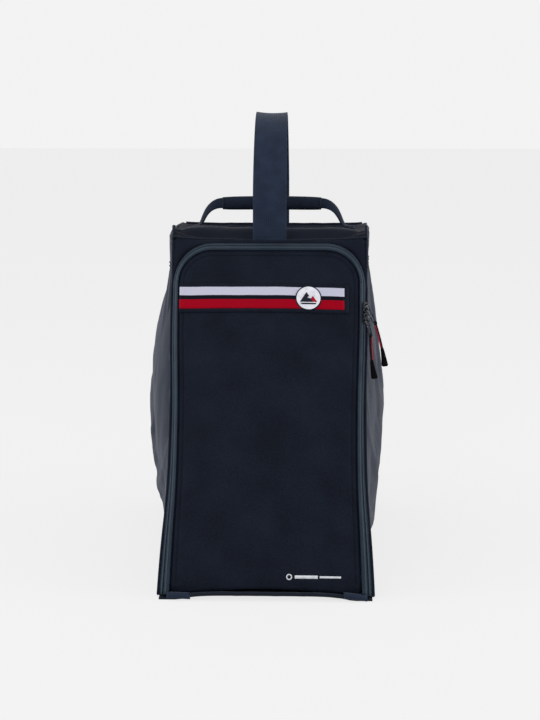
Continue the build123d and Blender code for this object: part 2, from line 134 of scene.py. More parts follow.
def add(tree, kind, settings=None, **links):
    """A node with its settings; each link names an input, or numbers it after i, and gives a value or an output."""
    node = tree.nodes.new(kind)
    for key, value in (settings or {}).items():
        if key == "stops":
            ends = node.color_ramp.elements
            while len(ends) < len(value):
                ends.new(0.5)
            for end, (place, shade) in zip(ends, value):
                end.position, end.color = place, shade
        elif key == "interpolation":
            node.color_ramp.interpolation = value
        else:
            setattr(node, key, value)
    for key, value in links.items():
        numbered = key[0] == "i" and key[1:].isdigit()
        socket = node.inputs[int(key[1:]) if numbered else key.replace("_", " ")]
        if isinstance(value, bpy.types.NodeSocket):
            tree.links.new(value, socket)
        else:
            socket.default_value = value
    return node


def new_material(name):
    material = bpy.data.materials.new(name)
    material.use_nodes = True
    material.node_tree.nodes.clear()
    return material, material.node_tree


def every(size):
    """The scale of a noise that varies over size millimetres."""
    return 1 / (size * MM)


def ridges(size):
    """The scale of a wave with one ridge every size millimetres."""
    return math.pi / 10 / (size * MM)


ACROSS = {"wave_type": "BANDS", "bands_direction": "X", "wave_profile": "SIN"}
ALONG = {"wave_type": "BANDS", "bands_direction": "Y", "wave_profile": "SIN"}
TIMES, PLUS, OVER = {"operation": "MULTIPLY"}, {"operation": "ADD"}, {"operation": "DIVIDE"}
TINT = {"data_type": "RGBA"}
NOISE_REACH = {"From_Min": 0.3, "From_Max": 0.7}  # where nearly all of a noise texture's values lie
WHITE = (1.0, 1.0, 1.0, 1.0)


def woven_polyester(name, light, dark, pitch, sheen, sheen_tint):
    """Plain-woven polyester with a matt coating: even colour, fine crossing threads, a pale bloom at grazing angles.

    Its real threads are 0.4 mm apart; they are drawn at pitch so that they show.
    """
    material, tree = new_material(name)
    uv = add(tree, "ShaderNodeUVMap").outputs[0]
    warp = add(tree, "ShaderNodeTexWave", ACROSS, Vector=uv, Scale=ridges(pitch)).outputs[1]
    weft = add(tree, "ShaderNodeTexWave", ALONG, Vector=uv, Scale=ridges(pitch)).outputs[1]
    cloth = add(tree, "ShaderNodeMath", TIMES, i0=warp, i1=weft).outputs[0]
    patches = add(tree, "ShaderNodeTexNoise", Vector=uv, Scale=every(45.0), Detail=3.0).outputs[0]
    slubs = add(tree, "ShaderNodeTexNoise", Vector=uv, Scale=every(2.5), Detail=2.0).outputs[0]
    shade = add(tree, "ShaderNodeMix", i0=0.45, i2=patches, i3=slubs).outputs[0]
    shades = [(0.35, colour(dark)), (0.65, colour(light))]
    body = add(tree, "ShaderNodeValToRGB", {"stops": shades}, Fac=shade).outputs[0]
    crossing = add(tree, "ShaderNodeMath", TIMES, i0=cloth, i1=0.35).outputs[0]
    grain = add(tree, "ShaderNodeMix", TINT, i0=crossing, i6=body, i7=colour(light)).outputs[2]
    rough = add(tree, "ShaderNodeMapRange", Value=slubs, **NOISE_REACH, To_Min=0.52, To_Max=0.66).outputs[0]
    height = add(tree, "ShaderNodeMath", {"operation": "MULTIPLY_ADD"}, i0=slubs, i1=0.6, i2=cloth).outputs[0]
    relief = add(tree, "ShaderNodeBump", Height=height, Distance=0.12 * MM, Strength=0.6).outputs[0]
    bloom = {"Sheen_Weight": sheen, "Sheen_Roughness": 0.38, "Sheen_Tint": colour(sheen_tint)}
    finish = {"Base_Color": grain, "Roughness": rough, "Normal": relief, "Specular_IOR_Level": 0.04}
    shader = add(tree, "ShaderNodeBsdfPrincipled", **finish, **bloom)
    add(tree, "ShaderNodeOutputMaterial", Surface=shader.outputs[0])
    return material


def ribbed_webbing(name, light, dark, rib, sheen=0.1, tape_highlight=None):
    """Polyester webbing: cords along it and finer ribs across, drawn larger than life so that they show.

    With a highlight colour it is zipper tape, with painted highlights in bands along it, where the tape catches the
    light beside the slit and near its far edge.
    """
    material, tree = new_material(name)
    uv = add(tree, "ShaderNodeUVMap").outputs[0]
    ribs = add(tree, "ShaderNodeTexWave", ALONG, Vector=uv, Scale=ridges(rib * 0.7)).outputs[1]
    cords = add(tree, "ShaderNodeTexWave", ACROSS, Vector=uv, Scale=ridges(rib)).outputs[1]
    cloth = add(tree, "ShaderNodeMix", i0=0.65, i2=ribs, i3=cords).outputs[0]
    patches = add(tree, "ShaderNodeTexNoise", Vector=uv, Scale=every(16.0), Detail=2.0).outputs[0]
    shades = [(0.3, colour(dark)), (0.7, colour(light))]
    body = add(tree, "ShaderNodeValToRGB", {"stops": shades}, Fac=patches).outputs[0]
    raised = add(tree, "ShaderNodeMath", TIMES, i0=cloth, i1=0.6).outputs[0]
    grain = add(tree, "ShaderNodeMix", TINT, i0=raised, i6=body, i7=colour(light)).outputs[2]
    # Painted highlight: paler bands across the tape, broad beside the slit and faint near the far edge, where it
    # catches the light
    if tape_highlight:
        place = add(tree, "ShaderNodeSeparateXYZ", Vector=uv).outputs[0]
        share = add(tree, "ShaderNodeMath", OVER, i0=place, i1=TAPE_WIDE * MM).outputs[0]
        paleness = ((0.0, 0.0), (0.14, 0.0), (0.2, 0.75), (0.3, 0.9), (0.38, 0.0), (0.84, 0.0), (0.92, 0.4))
        stops = [(where, (pale, pale, pale, 1.0)) for where, pale in paleness]
        highlight_band = add(tree, "ShaderNodeValToRGB", {"stops": stops}, Fac=share).outputs[0]
        grain = add(tree, "ShaderNodeMix", TINT, i0=highlight_band, i6=grain, i7=colour(tape_highlight)).outputs[2]
    rough = add(tree, "ShaderNodeMapRange", Value=cloth, To_Min=0.72, To_Max=0.52).outputs[0]
    relief = add(tree, "ShaderNodeBump", Height=cloth, Distance=0.25 * MM, Strength=0.8).outputs[0]
    bloom = {"Sheen_Weight": sheen, "Sheen_Roughness": 0.4, "Sheen_Tint": colour("#b8c2d8")}
    finish = {"Base_Color": grain, "Roughness": rough, "Normal": relief, "Specular_IOR_Level": 0.08}
    shader = add(tree, "ShaderNodeBsdfPrincipled", **finish, **bloom)
    add(tree, "ShaderNodeOutputMaterial", Surface=shader.outputs[0])
    return material


def moulded(name, hexa, rough, grain=0.6, gloss=0.5):
    """Moulded plastic or rubber: one colour, with the fine grain of its mould."""
    material, tree = new_material(name)
    place = add(tree, "ShaderNodeTexCoord").outputs["Object"]
    pits = add(tree, "ShaderNodeTexNoise", Vector=place, Scale=every(grain), Detail=3.0).outputs[0]
    patches = add(tree, "ShaderNodeTexNoise", Vector=place, Scale=every(6.0), Detail=3.0).outputs[0]
    deep = tuple(c * 0.75 for c in colour(hexa)[:3]) + (1.0,)
    shade = add(tree, "ShaderNodeValToRGB", {"stops": [(0.3, deep), (0.7, colour(hexa))]}, Fac=patches).outputs[0]
    reach = {"To_Min": rough - 0.06, "To_Max": rough + 0.06}
    satin = add(tree, "ShaderNodeMapRange", Value=pits, **NOISE_REACH, **reach).outputs[0]
    relief = add(tree, "ShaderNodeBump", Height=pits, Distance=0.05 * MM, Strength=0.5).outputs[0]
    finish = {"Base_Color": shade, "Roughness": satin, "Normal": relief, "Specular_IOR_Level": gloss}
    shader = add(tree, "ShaderNodeBsdfPrincipled", **finish)
    add(tree, "ShaderNodeOutputMaterial", Surface=shader.outputs[0])
    return material


def plated_zinc(name, hexa, rough):
    """Die-cast zinc with a dark plating: metallic, satin, paler where handling has rubbed it."""
    material, tree = new_material(name)
    place = add(tree, "ShaderNodeTexCoord").outputs["Object"]
    wear = add(tree, "ShaderNodeTexNoise", Vector=place, Scale=every(1.8), Detail=3.0).outputs[0]
    shades = [(0.45, colour(hexa)), (0.75, colour("#5f6268"))]
    shade = add(tree, "ShaderNodeValToRGB", {"stops": shades}, Fac=wear).outputs[0]
    reach = {"To_Min": rough - 0.05, "To_Max": rough + 0.06}
    satin = add(tree, "ShaderNodeMapRange", Value=wear, **NOISE_REACH, **reach).outputs[0]
    relief = add(tree, "ShaderNodeBump", Height=wear, Distance=0.02 * MM, Strength=0.2).outputs[0]
    finish = {"Base_Color": shade, "Roughness": satin, "Normal": relief, "Metallic": 1.0}
    shader = add(tree, "ShaderNodeBsdfPrincipled", **finish)
    add(tree, "ShaderNodeOutputMaterial", Surface=shader.outputs[0])
    return material


def striped_satin():
    """Woven satin ribbon: white, navy and red bands along its length, with fine threads across."""
    material, tree = new_material("striped_satin_ribbon")
    uv = add(tree, "ShaderNodeUVMap").outputs[0]
    across = add(tree, "ShaderNodeSeparateXYZ", Vector=uv).outputs[0]
    share = add(tree, "ShaderNodeMath", OVER, i0=across, i1=RIBBON_WIDE * MM).outputs[0]
    stops = [(0.0, colour("#8e0017")), (0.425, colour("#0c1019")), (0.61, colour("#b4b4c6"))]
    bands = add(tree, "ShaderNodeValToRGB", {"interpolation": "CONSTANT", "stops": stops}, Fac=share).outputs[0]
    rows = add(tree, "ShaderNodeTexWave", ACROSS, Vector=uv, Scale=ridges(1.0)).outputs[1]
    fine = add(tree, "ShaderNodeTexNoise", Vector=uv, Scale=every(1.2), Detail=3.0).outputs[0]
    soil = add(tree, "ShaderNodeMath", TIMES, i0=fine, i1=0.14).outputs[0]
    worn = add(tree, "ShaderNodeMix", TINT, i0=soil, i6=bands, i7=colour("#15080f")).outputs[2]
    satin = add(tree, "ShaderNodeMapRange", Value=rows, To_Min=0.42, To_Max=0.58).outputs[0]
    height = add(tree, "ShaderNodeMath", PLUS, i0=rows, i1=fine).outputs[0]
    relief = add(tree, "ShaderNodeBump", Height=height, Distance=0.08 * MM, Strength=0.6).outputs[0]
    finish = {"Base_Color": worn, "Roughness": satin, "Normal": relief, "Specular_IOR_Level": 0.03}
    shader = add(tree, "ShaderNodeBsdfPrincipled", **finish)
    add(tree, "ShaderNodeOutputMaterial", Surface=shader.outputs[0])
    return material


RIBBON_WIDE = 25.0
TAPE_WIDE = 7.8  # the tape on either side of the slit
SHELL_CLOTH = woven_polyester("woven_polyester_navy", "#161b27", "#0c1018", 1.6, 0.03, "#c3c9dc")
# Painted light: the sides are the same navy fabric as the front; this lighter copy with a stronger sheen paints the
# side light that falls on them
LIT_SIDE_CLOTH = woven_polyester("woven_polyester_sides_painted_lighter", "#1f2531", "#141922", 1.6, 0.2, "#c8ccdc")
LINING_CLOTH = woven_polyester("woven_lining", "#1c1f27", "#14161c", 0.8, 0.1, "#a0a6b8")
# The last colour in this call is a painted highlight on the tape beside the slit
TAPE_CLOTH = ribbed_webbing("zipper_tape_twill", "#1e2935", "#131b25", 1.2, 0.08, "#36444f")
WEBBING = ribbed_webbing("polyester_webbing", "#202a3c", "#161d2b", 2.2)
HANDLE_WEBBING = ribbed_webbing("polyester_webbing_handle", "#192130", "#101620", 2.0, 0.06)
BINDING = ribbed_webbing("grosgrain_binding", "#161c27", "#0d1118", 1.2)
SATIN = striped_satin()
THREAD = moulded("sewing_thread", "#0e131c", 0.8, 0.4, 0.1)
COIL = moulded("nylon_coil", "#0c1016", 0.45, 0.6, 0.3)
RUBBER = moulded("pull_rubber", "#040406", 0.6, 0.8, 0.03)
BOARD = moulded("polypropylene_board", "#15161a", 0.6, 1.2)
GUNMETAL = plated_zinc("plated_zinc", "#25262b", 0.3)
BLACK_WIRE = plated_zinc("black_plated_wire", "#17181b", 0.38)
PULL_TAPE = ribbed_webbing("pull_tape_black", "#0a0a0d", "#050507", 0.8, 0.03)
RED_EDGE = ribbed_webbing("pull_tape_red", "#b3223a", "#8e162b", 0.8, 0.05)
PATCH_WHITE = moulded("patch_white", "#d6d7df", 0.5, 0.6, 0.2)
PATCH_NAVY = moulded("patch_navy", "#131926", 0.5, 0.6, 0.1)
PATCH_RED = moulded("patch_red", "#9c0a20", 0.5, 0.6, 0.1)
INK = moulded("white_print", "#c9ccd2", 0.6)


# ============================================================ mesh helpers
def new_object(name, mesh, material):
    obj = bpy.data.objects.new(name, mesh)
    bpy.context.scene.collection.objects.link(obj)
    mesh.materials.append(material)
    for face in mesh.polygons:
        face.use_smooth = True
    return obj


def baked(obj):
    """The object with its modifiers applied."""
    graph = bpy.context.evaluated_depsgraph_get()
    mesh = bpy.data.meshes.new_from_object(obj.evaluated_get(graph))
    obj.modifiers.clear()
    old = obj.data
    obj.data = mesh
    bpy.data.meshes.remove(old)
    return obj


def solidify(obj, thickness, side=-1.0):
    """Gives a sheet its thickness; side -1 adds it behind the face."""
    wall = obj.modifiers.new("wall", "SOLIDIFY")
    wall.thickness = thickness * MM
    wall.offset = side
    wall.use_even_offset = False
    return baked(obj)


def sheet(name, rows, material, thickness=FABRIC, side=-1.0, closed=False):
    """A sheet through rows of points in millimetres, with UVs in metres along and across it."""
    rows = np.array(rows, dtype=float)
    count, wide = rows.shape[:2]
    along = np.zeros((count, wide))
    along[1:] = np.cumsum(np.linalg.norm(np.diff(rows, axis=0), axis=2).mean(axis=1))[:, None]
    across = np.zeros((count, wide))
    across[:, 1:] = np.cumsum(np.linalg.norm(np.diff(rows, axis=1), axis=2), axis=1)
    faces = []
    last = wide if closed else wide - 1
    for i in range(count - 1):
        for j in range(last):
            k = (j + 1) % wide
            faces.append((i * wide + j, i * wide + k, (i + 1) * wide + k, (i + 1) * wide + j))
    mesh = bpy.data.meshes.new(name)
    mesh.from_pydata((rows.reshape(-1, 3) * MM).tolist(), [], faces)
    layer = mesh.uv_layers.new(name="UVMap")
    flat = np.stack([across, along], axis=2).reshape(-1, 2) * MM
    index = np.array([v for face in faces for v in face])
    placed = flat[index]
    if closed:  # the strip that joins the last column to the first ends where it closes, not back at zero
        closing = np.linalg.norm(rows[:, 0] - rows[:, -1], axis=1).mean() * MM
        for number, face in enumerate(faces):
            if number % last == last - 1:
                corner = 4 * number
                placed[corner + 1, 0] = placed[corner, 0] + closing
                placed[corner + 2, 0] = placed[corner + 3, 0] + closing
    layer.data.foreach_set("uv", placed.ravel())
    obj = new_object(name, mesh, material)
    if thickness:
        solidify(obj, thickness, side)
    return obj


def frames_along(path, up):
    """Tangent, sideways and up directions at each point of a path."""
    path = np.array(path, dtype=float)
    tangent = np.gradient(path, axis=0)
    tangent /= np.linalg.norm(tangent, axis=1)[:, None]
    up = np.broadcast_to(np.array(up, dtype=float), path.shape)
    side = np.cross(tangent, up)
    side /= np.linalg.norm(side, axis=1)[:, None]
    return path, tangent, side, np.cross(side, tangent)


def swept(name, path, up, section, material, caps=True):
    """A closed section, given as points or a function of the share along, carried along a path."""
    path, _, side, above = frames_along(path, up)
    rows = []
    for i, point in enumerate(path):
        shape = section(i / (len(path) - 1)) if callable(section) else section
        rows.append([point + a * side[i] + b * above[i] for a, b in shape])
    obj = sheet(name, rows, material, 0, closed=True)
    if caps:
        mesh = bmesh.new()
        mesh.from_mesh(obj.data)
        bmesh.ops.holes_fill(mesh, edges=[e for e in mesh.edges if e.is_boundary], sides=0)
        bmesh.ops.recalc_face_normals(mesh, faces=mesh.faces)
        mesh.to_mesh(obj.data)
        mesh.free()
    return obj


def rounded_section(width, height, corner, steps=4):
    """A rounded rectangle as points, counter-clockwise."""
    points = []
    for quarter in range(4):
        cx = (width / 2 - corner) * (1 if quarter in (0, 3) else -1)
        cy = (height / 2 - corner) * (1 if quarter in (0, 1) else -1)
        for step in range(steps + 1):
            angle = math.pi / 2 * (quarter + step / steps)
            points.append((cx + corner * math.cos(angle), cy + corner * math.sin(angle)))
    return points


def spaced(points, step):
    """Points at even steps along a polyline."""
    points = np.array(points, dtype=float)
    lengths = np.concatenate([[0], np.cumsum(np.linalg.norm(np.diff(points, axis=0), axis=1))])
    places = np.linspace(0, lengths[-1], max(2, int(lengths[-1] / step) + 1))
    return np.stack([np.interp(places, lengths, points[:, k]) for k in range(3)], axis=1)


def settle(obj, body, slot, *nodes):
    """The last word on a piece: what it rides on and the CAD nodes it stands for, which are hidden; the slot
    argument, its material slot, is not used.
    """
    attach(obj, body)
    if nodes:
        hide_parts(*nodes)
    return obj


# ============================================================ geometry nodes: stitches and coil
def repeat_tree(name, material):
    """Repeats a small six-sided rod along edges: Spacing, Length, Radius and Squash are its named inputs."""
    tree = bpy.data.node_groups.new(name, "GeometryNodeTree")
    face = tree.interface
    face.new_socket(name="Geometry", in_out="INPUT", socket_type="NodeSocketGeometry")
    for key in ("Spacing", "Length", "Radius", "Squash"):
        face.new_socket(name=key, in_out="INPUT", socket_type="NodeSocketFloat")
    face.new_socket(name="Geometry", in_out="OUTPUT", socket_type="NodeSocketGeometry")
    given = add(tree, "NodeGroupInput").outputs
    curve = add(tree, "GeometryNodeMeshToCurve", Mesh=given["Geometry"]).outputs[0]
    even = add(tree, "GeometryNodeResampleCurve", {"mode": "LENGTH"}, Curve=curve, Length=given["Spacing"]).outputs[0]
    points = add(tree, "GeometryNodeCurveToPoints", {"mode": "EVALUATED"}, Curve=even).outputs
    rod_size = {"Vertices": 6, "Radius": given["Radius"], "Depth": given["Length"]}
    rod = add(tree, "GeometryNodeMeshCylinder", {"fill_type": "NGON"}, **rod_size).outputs[0]
    turn = add(tree, "FunctionNodeAlignRotationToVector", {"axis": "Z"}, Vector=points["Tangent"]).outputs[0]
    size = add(tree, "ShaderNodeCombineXYZ", X=1.0, Y=given["Squash"], Z=1.0).outputs[0]
    placing = {"Points": points["Points"], "Instance": rod, "Rotation": turn, "Scale": size}
    many = add(tree, "GeometryNodeInstanceOnPoints", **placing).outputs[0]
    real = add(tree, "GeometryNodeRealizeInstances", Geometry=many).outputs[0]
    done = add(tree, "GeometryNodeSetMaterial", Geometry=real, Material=material).outputs[0]
    add(tree, "NodeGroupOutput", i0=done)
    return tree


def repeated(name, lines, tree, material, **inputs):
    """One mesh of a repeated shape along several lines of points in millimetres."""
    mesh = bpy.data.meshes.new(name)
    verts, edges = [], []
    for line in lines:
        start = len(verts)
        verts += [tuple(p * MM) for p in np.array(line)]
        edges += [(i, i + 1) for i in range(start, len(verts) - 1)]
    mesh.from_pydata(verts, edges, [])
    obj = new_object(name, mesh, material)
    modifier = obj.modifiers.new("repeat", "NODES")
    modifier.node_group = tree
    for item in tree.interface.items_tree:
        if item.in_out == "INPUT" and item.name in inputs:
            modifier[item.identifier] = inputs[item.name] * MM if item.name != "Squash" else inputs[item.name]
    obj.data.update()
    return baked(obj)


STITCHES = repeat_tree("stitch_row", THREAD)
COIL_TURNS = repeat_tree("coil_turns", COIL)
COIL_SIZE = {"Spacing": 1.3, "Length": 0.75, "Radius": 1.3, "Squash": 0.8}  # each turn is flattened a little


def stitches(name, lines, body, spacing=3.0, length=2.1, radius=0.42):
    obj = repeated(name, lines, STITCHES, THREAD, Spacing=spacing, Length=length, Radius=radius, Squash=1.0)
    return settle(obj, body, "binding_tape")


# ============================================================ the bag's outline
def along(values, w):
    """A value that changes up the front face, eased between its heights."""
    near = [float(np.interp(w + step, HEIGHTS, values)) for step in (-24, -12, 0, 12, 24)]
    return sum(near) / len(near)


class Station:
    """One place along the inverted U round the flap."""

    def __init__(self, u, w, du, dw):
        side = math.copysign(1.0, u)
        self.u = u + side * along(FOLD_SHIFT, w) * abs(du)
        self.angle = math.radians(along(BAND_SLOPE, w) * du * du + TOP_SLOPE * dw * dw)
        self.w, self.du, self.dw = w, du, dw

    def at(self, across, off=0.0):
        """A point across the band: 0 at the flap's fold, 1 at the foot; off stands out of the band."""
        reach = across * BAND_WIDTH
        out = reach * math.cos(self.angle) + off * math.sin(self.angle)
        deep = -reach * math.sin(self.angle) + off * math.cos(self.angle)
        return front(self.u + self.du * out, self.w + self.dw * out, deep)


def u_stations(step=4.0, start=FLAP_LOW):
    """Stations up the left side, round the top and down the right side."""
    straight_top = FOLD_TOP - FOLD_RADIUS
    rise = np.linspace(start, straight_top, int((straight_top - start) / step))
    stations = [Station(-FOLD_X, w, -1.0, 0.0) for w in rise]
    turns = np.linspace(0, math.pi / 2, 16)[1:]
    for a in turns:
        du, dw = -math.cos(a), math.sin(a)
        stations.append(Station(-FOLD_X + FOLD_RADIUS * (1 + du), straight_top + FOLD_RADIUS * dw, du, dw))
    flat = FOLD_X - FOLD_RADIUS
    for u in np.linspace(-flat, flat, int(2 * flat / step))[1:]:
        stations.append(Station(u, FOLD_TOP, 0.0, 1.0))
    for a in turns[::-1][1:]:
        du, dw = math.cos(a), math.sin(a)
        stations.append(Station(FOLD_X - FOLD_RADIUS * (1 - du), straight_top + FOLD_RADIUS * dw, du, dw))
    stations += [Station(FOLD_X, w, 1.0, 0.0) for w in rise[::-1]]
    return stations


STATIONS = u_stations()
SLIT_SHARE = 1 - SLIT_FROM_FOOT / BAND_WIDTH
GAP_SHARE = SLIT_GAP / 2 / BAND_WIDTH


def foot(station):
    return station.at(1.0)


def band_depth(w):
    return BAND_WIDTH * math.sin(math.radians(along(BAND_SLOPE, w)))


def side_seam(side, z):
    """The seam between the front and a side, at height z."""
    w = (z + BAND_DEEP * SLOPE_UP[1]) / SLOPE_UP[2]
    return front(side * along(SEAM_HALF, w), w, -band_depth(w) - 1.0)


def back_seam(side, z):
    return np.array([side * (SEAM_X - 1.5 * smooth((z - 260) / 100)), BACK_Y, z])


# ============================================================ cloth
def settled(rows, slack, pressure, cap=5.0, frames=16):
    """Lets a panel settle as cloth: cut a little too large, held along its seams, pushed out from inside."""
    rows = np.array(rows, dtype=float)
    count, wide = rows.shape[:2]
    obj = sheet("settling", rows, SHELL_CLOTH, 0)
    held = [i * wide + j for i in range(count) for j in range(wide) if i in (0, count - 1) or j in (0, wide - 1)]
    obj.vertex_groups.new(name="seams").add(held, 1.0, "REPLACE")
    cloth = obj.modifiers.new("cloth", "CLOTH")
    settings = cloth.settings
    settings.quality = 6
    settings.mass = 0.25
    settings.tension_stiffness = settings.compression_stiffness = 25
    settings.shear_stiffness = 12
    settings.bending_stiffness = 0.8
    settings.air_damping = 4
    settings.shrink_min = -slack
    settings.use_pressure = True
    settings.uniform_pressure_force = pressure
    settings.vertex_group_mass = "seams"
    settings.effector_weights.gravity = 0.2
    cloth.collision_settings.use_collision = False
    cloth.point_cache.frame_end = frames
    scene = bpy.context.scene
    for frame_number in range(1, frames + 1):
        scene.frame_set(frame_number)
    graph = bpy.context.evaluated_depsgraph_get()
    shaped = obj.evaluated_get(graph).data
    points = np.zeros(count * wide * 3)
    shaped.vertices.foreach_get("co", points)
    moved = points.reshape(count, wide, 3) / MM - rows
    length = np.linalg.norm(moved, axis=2, keepdims=True)
    moved *= np.minimum(1.0, cap / np.maximum(length, 1e-6))
    scene.frame_set(1)
    mesh = obj.data
    bpy.data.objects.remove(obj)
    bpy.data.meshes.remove(mesh)
    return rows + moved


# ============================================================ shell panels
def side_point(side, s, z):
    """Side panel: s runs from the front seam to the back seam."""
    a, b = side_seam(side, z), back_seam(side, z)
    point = a + (b - a) * s
    t = min(1.0, z / YOKE_Z)
    lift = t ** (math.log(0.5) / math.log(0.6))
    out = SIDE_BULGE[side] * max(0.0, math.sin(math.pi * s)) ** 0.85 * max(0.0, math.sin(math.pi * lift)) ** 0.9
    if z > YOKE_Z:
        out = 2.0 * math.sin(math.pi * s) * (z - YOKE_Z) / (TOP_Z - YOKE_Z)
        point[2] -= back_sag(1.0) * s * s * (z - YOKE_Z) / (TOP_Z - YOKE_Z)
    hold = min(1.0, 4 * s * (1 - s) + 0.05) * min(1.0, t * 4) * min(1.0, abs(z - YOKE_Z) / 25 + 0.15)
    y = point[1]
    out += SIDE_PUFF[side] * (1 - math.exp(-18 * s)) * (1 - s**6) * smooth((z - 60) / 80)
    folds = 1.7 * ripple(0, y, z * 0.35, 46.0, 3.1 * side) + 0.9 * ripple(0, y * 1.4, z * 0.8, 21.0, 7.0)
    pucker = 0.7 * math.sin(y / 4.6 + 2 * ripple(0, y, z, 30)) * math.exp(-abs(z - YOKE_Z) / 9.0)
    point[0] += side * (out + folds * hold + pucker)
    return point


def side_grid(side, z0, z1, steps_up, steps_along=70):
    heights = np.linspace(z0, z1, steps_up)
    shares = (1 - np.cos(np.linspace(0, math.pi, steps_along))) / 2
    order = shares if side > 0 else shares[::-1]
    return [[side_point(side, s, z) for s in order] for z in heights]


def make_sides():
    for side, name in ((-1, "left"), (1, "right")):
        shaped = settled(side_grid(side, 1.0, YOKE_Z, 76, 80), slack=0.013, pressure=1.2)
        panel = sheet(f"side_cloth_{name}", shaped, LIT_SIDE_CLOTH)
        settle(panel, "bag", "grey_blue_side_fabric", f"side_panel_{name}")
        yoke = sheet(f"yoke_cloth_{name}", side_grid(side, YOKE_Z - 1.0, TOP_Z, 14), LIT_SIDE_CLOTH, YOKE_THICK)
        settle(yoke, "bag", "grey_blue_side_fabric", f"side_yoke_{name}")
        proud, shares = np.array([side * 0.5, 0, 0]), np.linspace(0.03, 0.97, 80)
        rows = [[side_point(side, s, YOKE_Z + up) + proud for s in shares] for up in (3.0, 7.0)]
        stitches(f"yoke_stitching_{name}", rows, "bag")


def make_back():
    rows = []
    for z in np.linspace(2.0, TOP_Z, 60):
        row = []
        for a in np.linspace(1, -1, 50):
            x = a * (SEAM_X - 1.0)
            crown = 5.5 * (1 - a**4) * math.sin(math.pi * z / TOP_Z) ** 0.7
            folds = 1.6 * ripple(x, 0, z * 0.5, 48.0, 5.0) * (1 - a * a)
            row.append(np.array([x, BACK_Y - 0.5 + crown + folds, z - back_sag(a) * smooth((z - 280) / 80)]))
        rows.append(row)
    rows = settled(rows, slack=0.015, pressure=1.5)
    settle(sheet("back_cloth", rows, SHELL_CLOTH), "bag", "navy_ripstop", "back_panel")


def top_edge_front(x):
    """The top seam over the front: highest at its corners, pulled down where the strap is sewn."""
    a = x / SEAM_X
    w = SHELL_TOP + EAR * abs(a) ** 5 - 1.8 * (1 - a**6) - 1.4 * math.exp(-((x / 45.0) ** 2))
    return front(x, w, -BAND_DEEP - 1.0)


def top_height(x, share):
    """How far the top panel puffs up over its seams, with a dent where the strap pulls."""
    a = x / SEAM_X
    puff = TOP_CROWN * smooth(share / 0.17)  # fullest about a fifth of the way back
    puff *= (1 - 0.8 * smooth((share - 0.24) / 0.22)) * (1 - smooth((share - 0.6) / 0.4))
    puff *= (1 - min(1.0, abs(a)) ** 9) * (1 - 0.1 * a)  # a little fuller on the left
    dent = -2.4 * math.exp(-((x / 30.0) ** 2) - (share / 0.12) ** 2)
    folds = 1.5 * ripple(x, share * 120, 0, 30.0, 2.0) * min(1.0, 6 * share * (1 - share))
    gathers = 0.45 * math.sin(x / 2.1 + 2 * ripple(x, 0, 0, 25.0)) * math.exp(-(share / 0.05)) * min(1.0, share * 60)
    creases = 1.6 * ripple(x * 0.35, share * 150, 0, 15.0, 6.0) * math.exp(-(((share - 0.1) / 0.12) ** 2))
    return puff + dent + folds + gathers + creases


def top_rows(columns=90, lines=70):
    rows = []
    for share in np.linspace(0, 1, lines) ** 1.25:
        row = []
        for a in np.linspace(-1, 1, columns):
            start = top_edge_front(a * (along(SEAM_HALF, SHELL_TOP) - 0.5))
            end = np.array([a * (SEAM_X - 1.5), BACK_Y, TOP_Z - back_sag(a)])
            point = start + (end - start) * share
            point[2] += top_height(point[0], share)
            row.append(point)
        rows.append(row)
    return rows


def make_top():
    rows = settled(top_rows(), slack=0.012, pressure=1.5)
    settle(sheet("top_cloth", rows, SHELL_CLOTH), "bag", "navy_ripstop", "top_panel")


def base_arch(x, y):
    """How far the base is drawn up at the front, between the two corner tabs."""
    return 4.6 * max(0.0, 1 - (abs(x) / 92.0) ** 6) * smooth((FRONT_Y + 60 - y) / 60)


def make_base():
    rows = []
    for y in np.linspace(FRONT_Y + 3.0, BACK_Y, 40):
        edge = SEAM_X - 2.8 + BASE_FLARE * smooth((y - FRONT_Y) / 90)
        rows.append([np.array([x, y, base_arch(x, y)]) for x in np.linspace(edge, -edge, 40)])
    settle(sheet("base_cloth", rows, SHELL_CLOTH, 1.6), "bag", "navy_ripstop", "bottom_panel")


def surround_row(station):
    """From the zipper band's foot to the side seam or the top seam."""
    inner = foot(station)
    straight_top = FOLD_TOP - FOLD_RADIUS
    seam_half = along(SEAM_HALF, SHELL_TOP)
    if abs(station.du) > 0.999:
        outer = side_seam(math.copysign(1, station.u), inner[2])
    else:
        centre = math.copysign(FOLD_X - FOLD_RADIUS, station.du) if station.du else station.u
        reach_u = (seam_half - abs(centre)) / max(1e-6, abs(station.du))
        reach_w = (SHELL_TOP - straight_top) / max(1e-6, station.dw)
        if reach_w <= reach_u:
            outer = top_edge_front(centre + station.du * reach_w)
        else:
            height = front(0, straight_top + station.dw * reach_u, -BAND_DEEP)[2]
            outer = side_seam(math.copysign(1, station.du), height)
    swell = SLOPE_OUT * 0.9
    return [inner + (outer - inner) * k + swell * math.sin(math.pi * k) for k in np.linspace(0, 1, 6)]


def make_surround():
    rows = [surround_row(station) for station in STATIONS]
    settle(sheet("front_surround_cloth", rows, SHELL_CLOTH, side=1.0), "bag", "navy_ripstop", "front_surround")


# ============================================================ zipper
def tape_rows(inner, outer, lift, columns=7):
    rows = []
    for station in STATIONS:
        row = []
        for k in np.linspace(0, 1, columns):
            across = inner + (outer - inner) * k
            row.append(station.at(across, lift(k)))
        rows.append(row)
    return rows


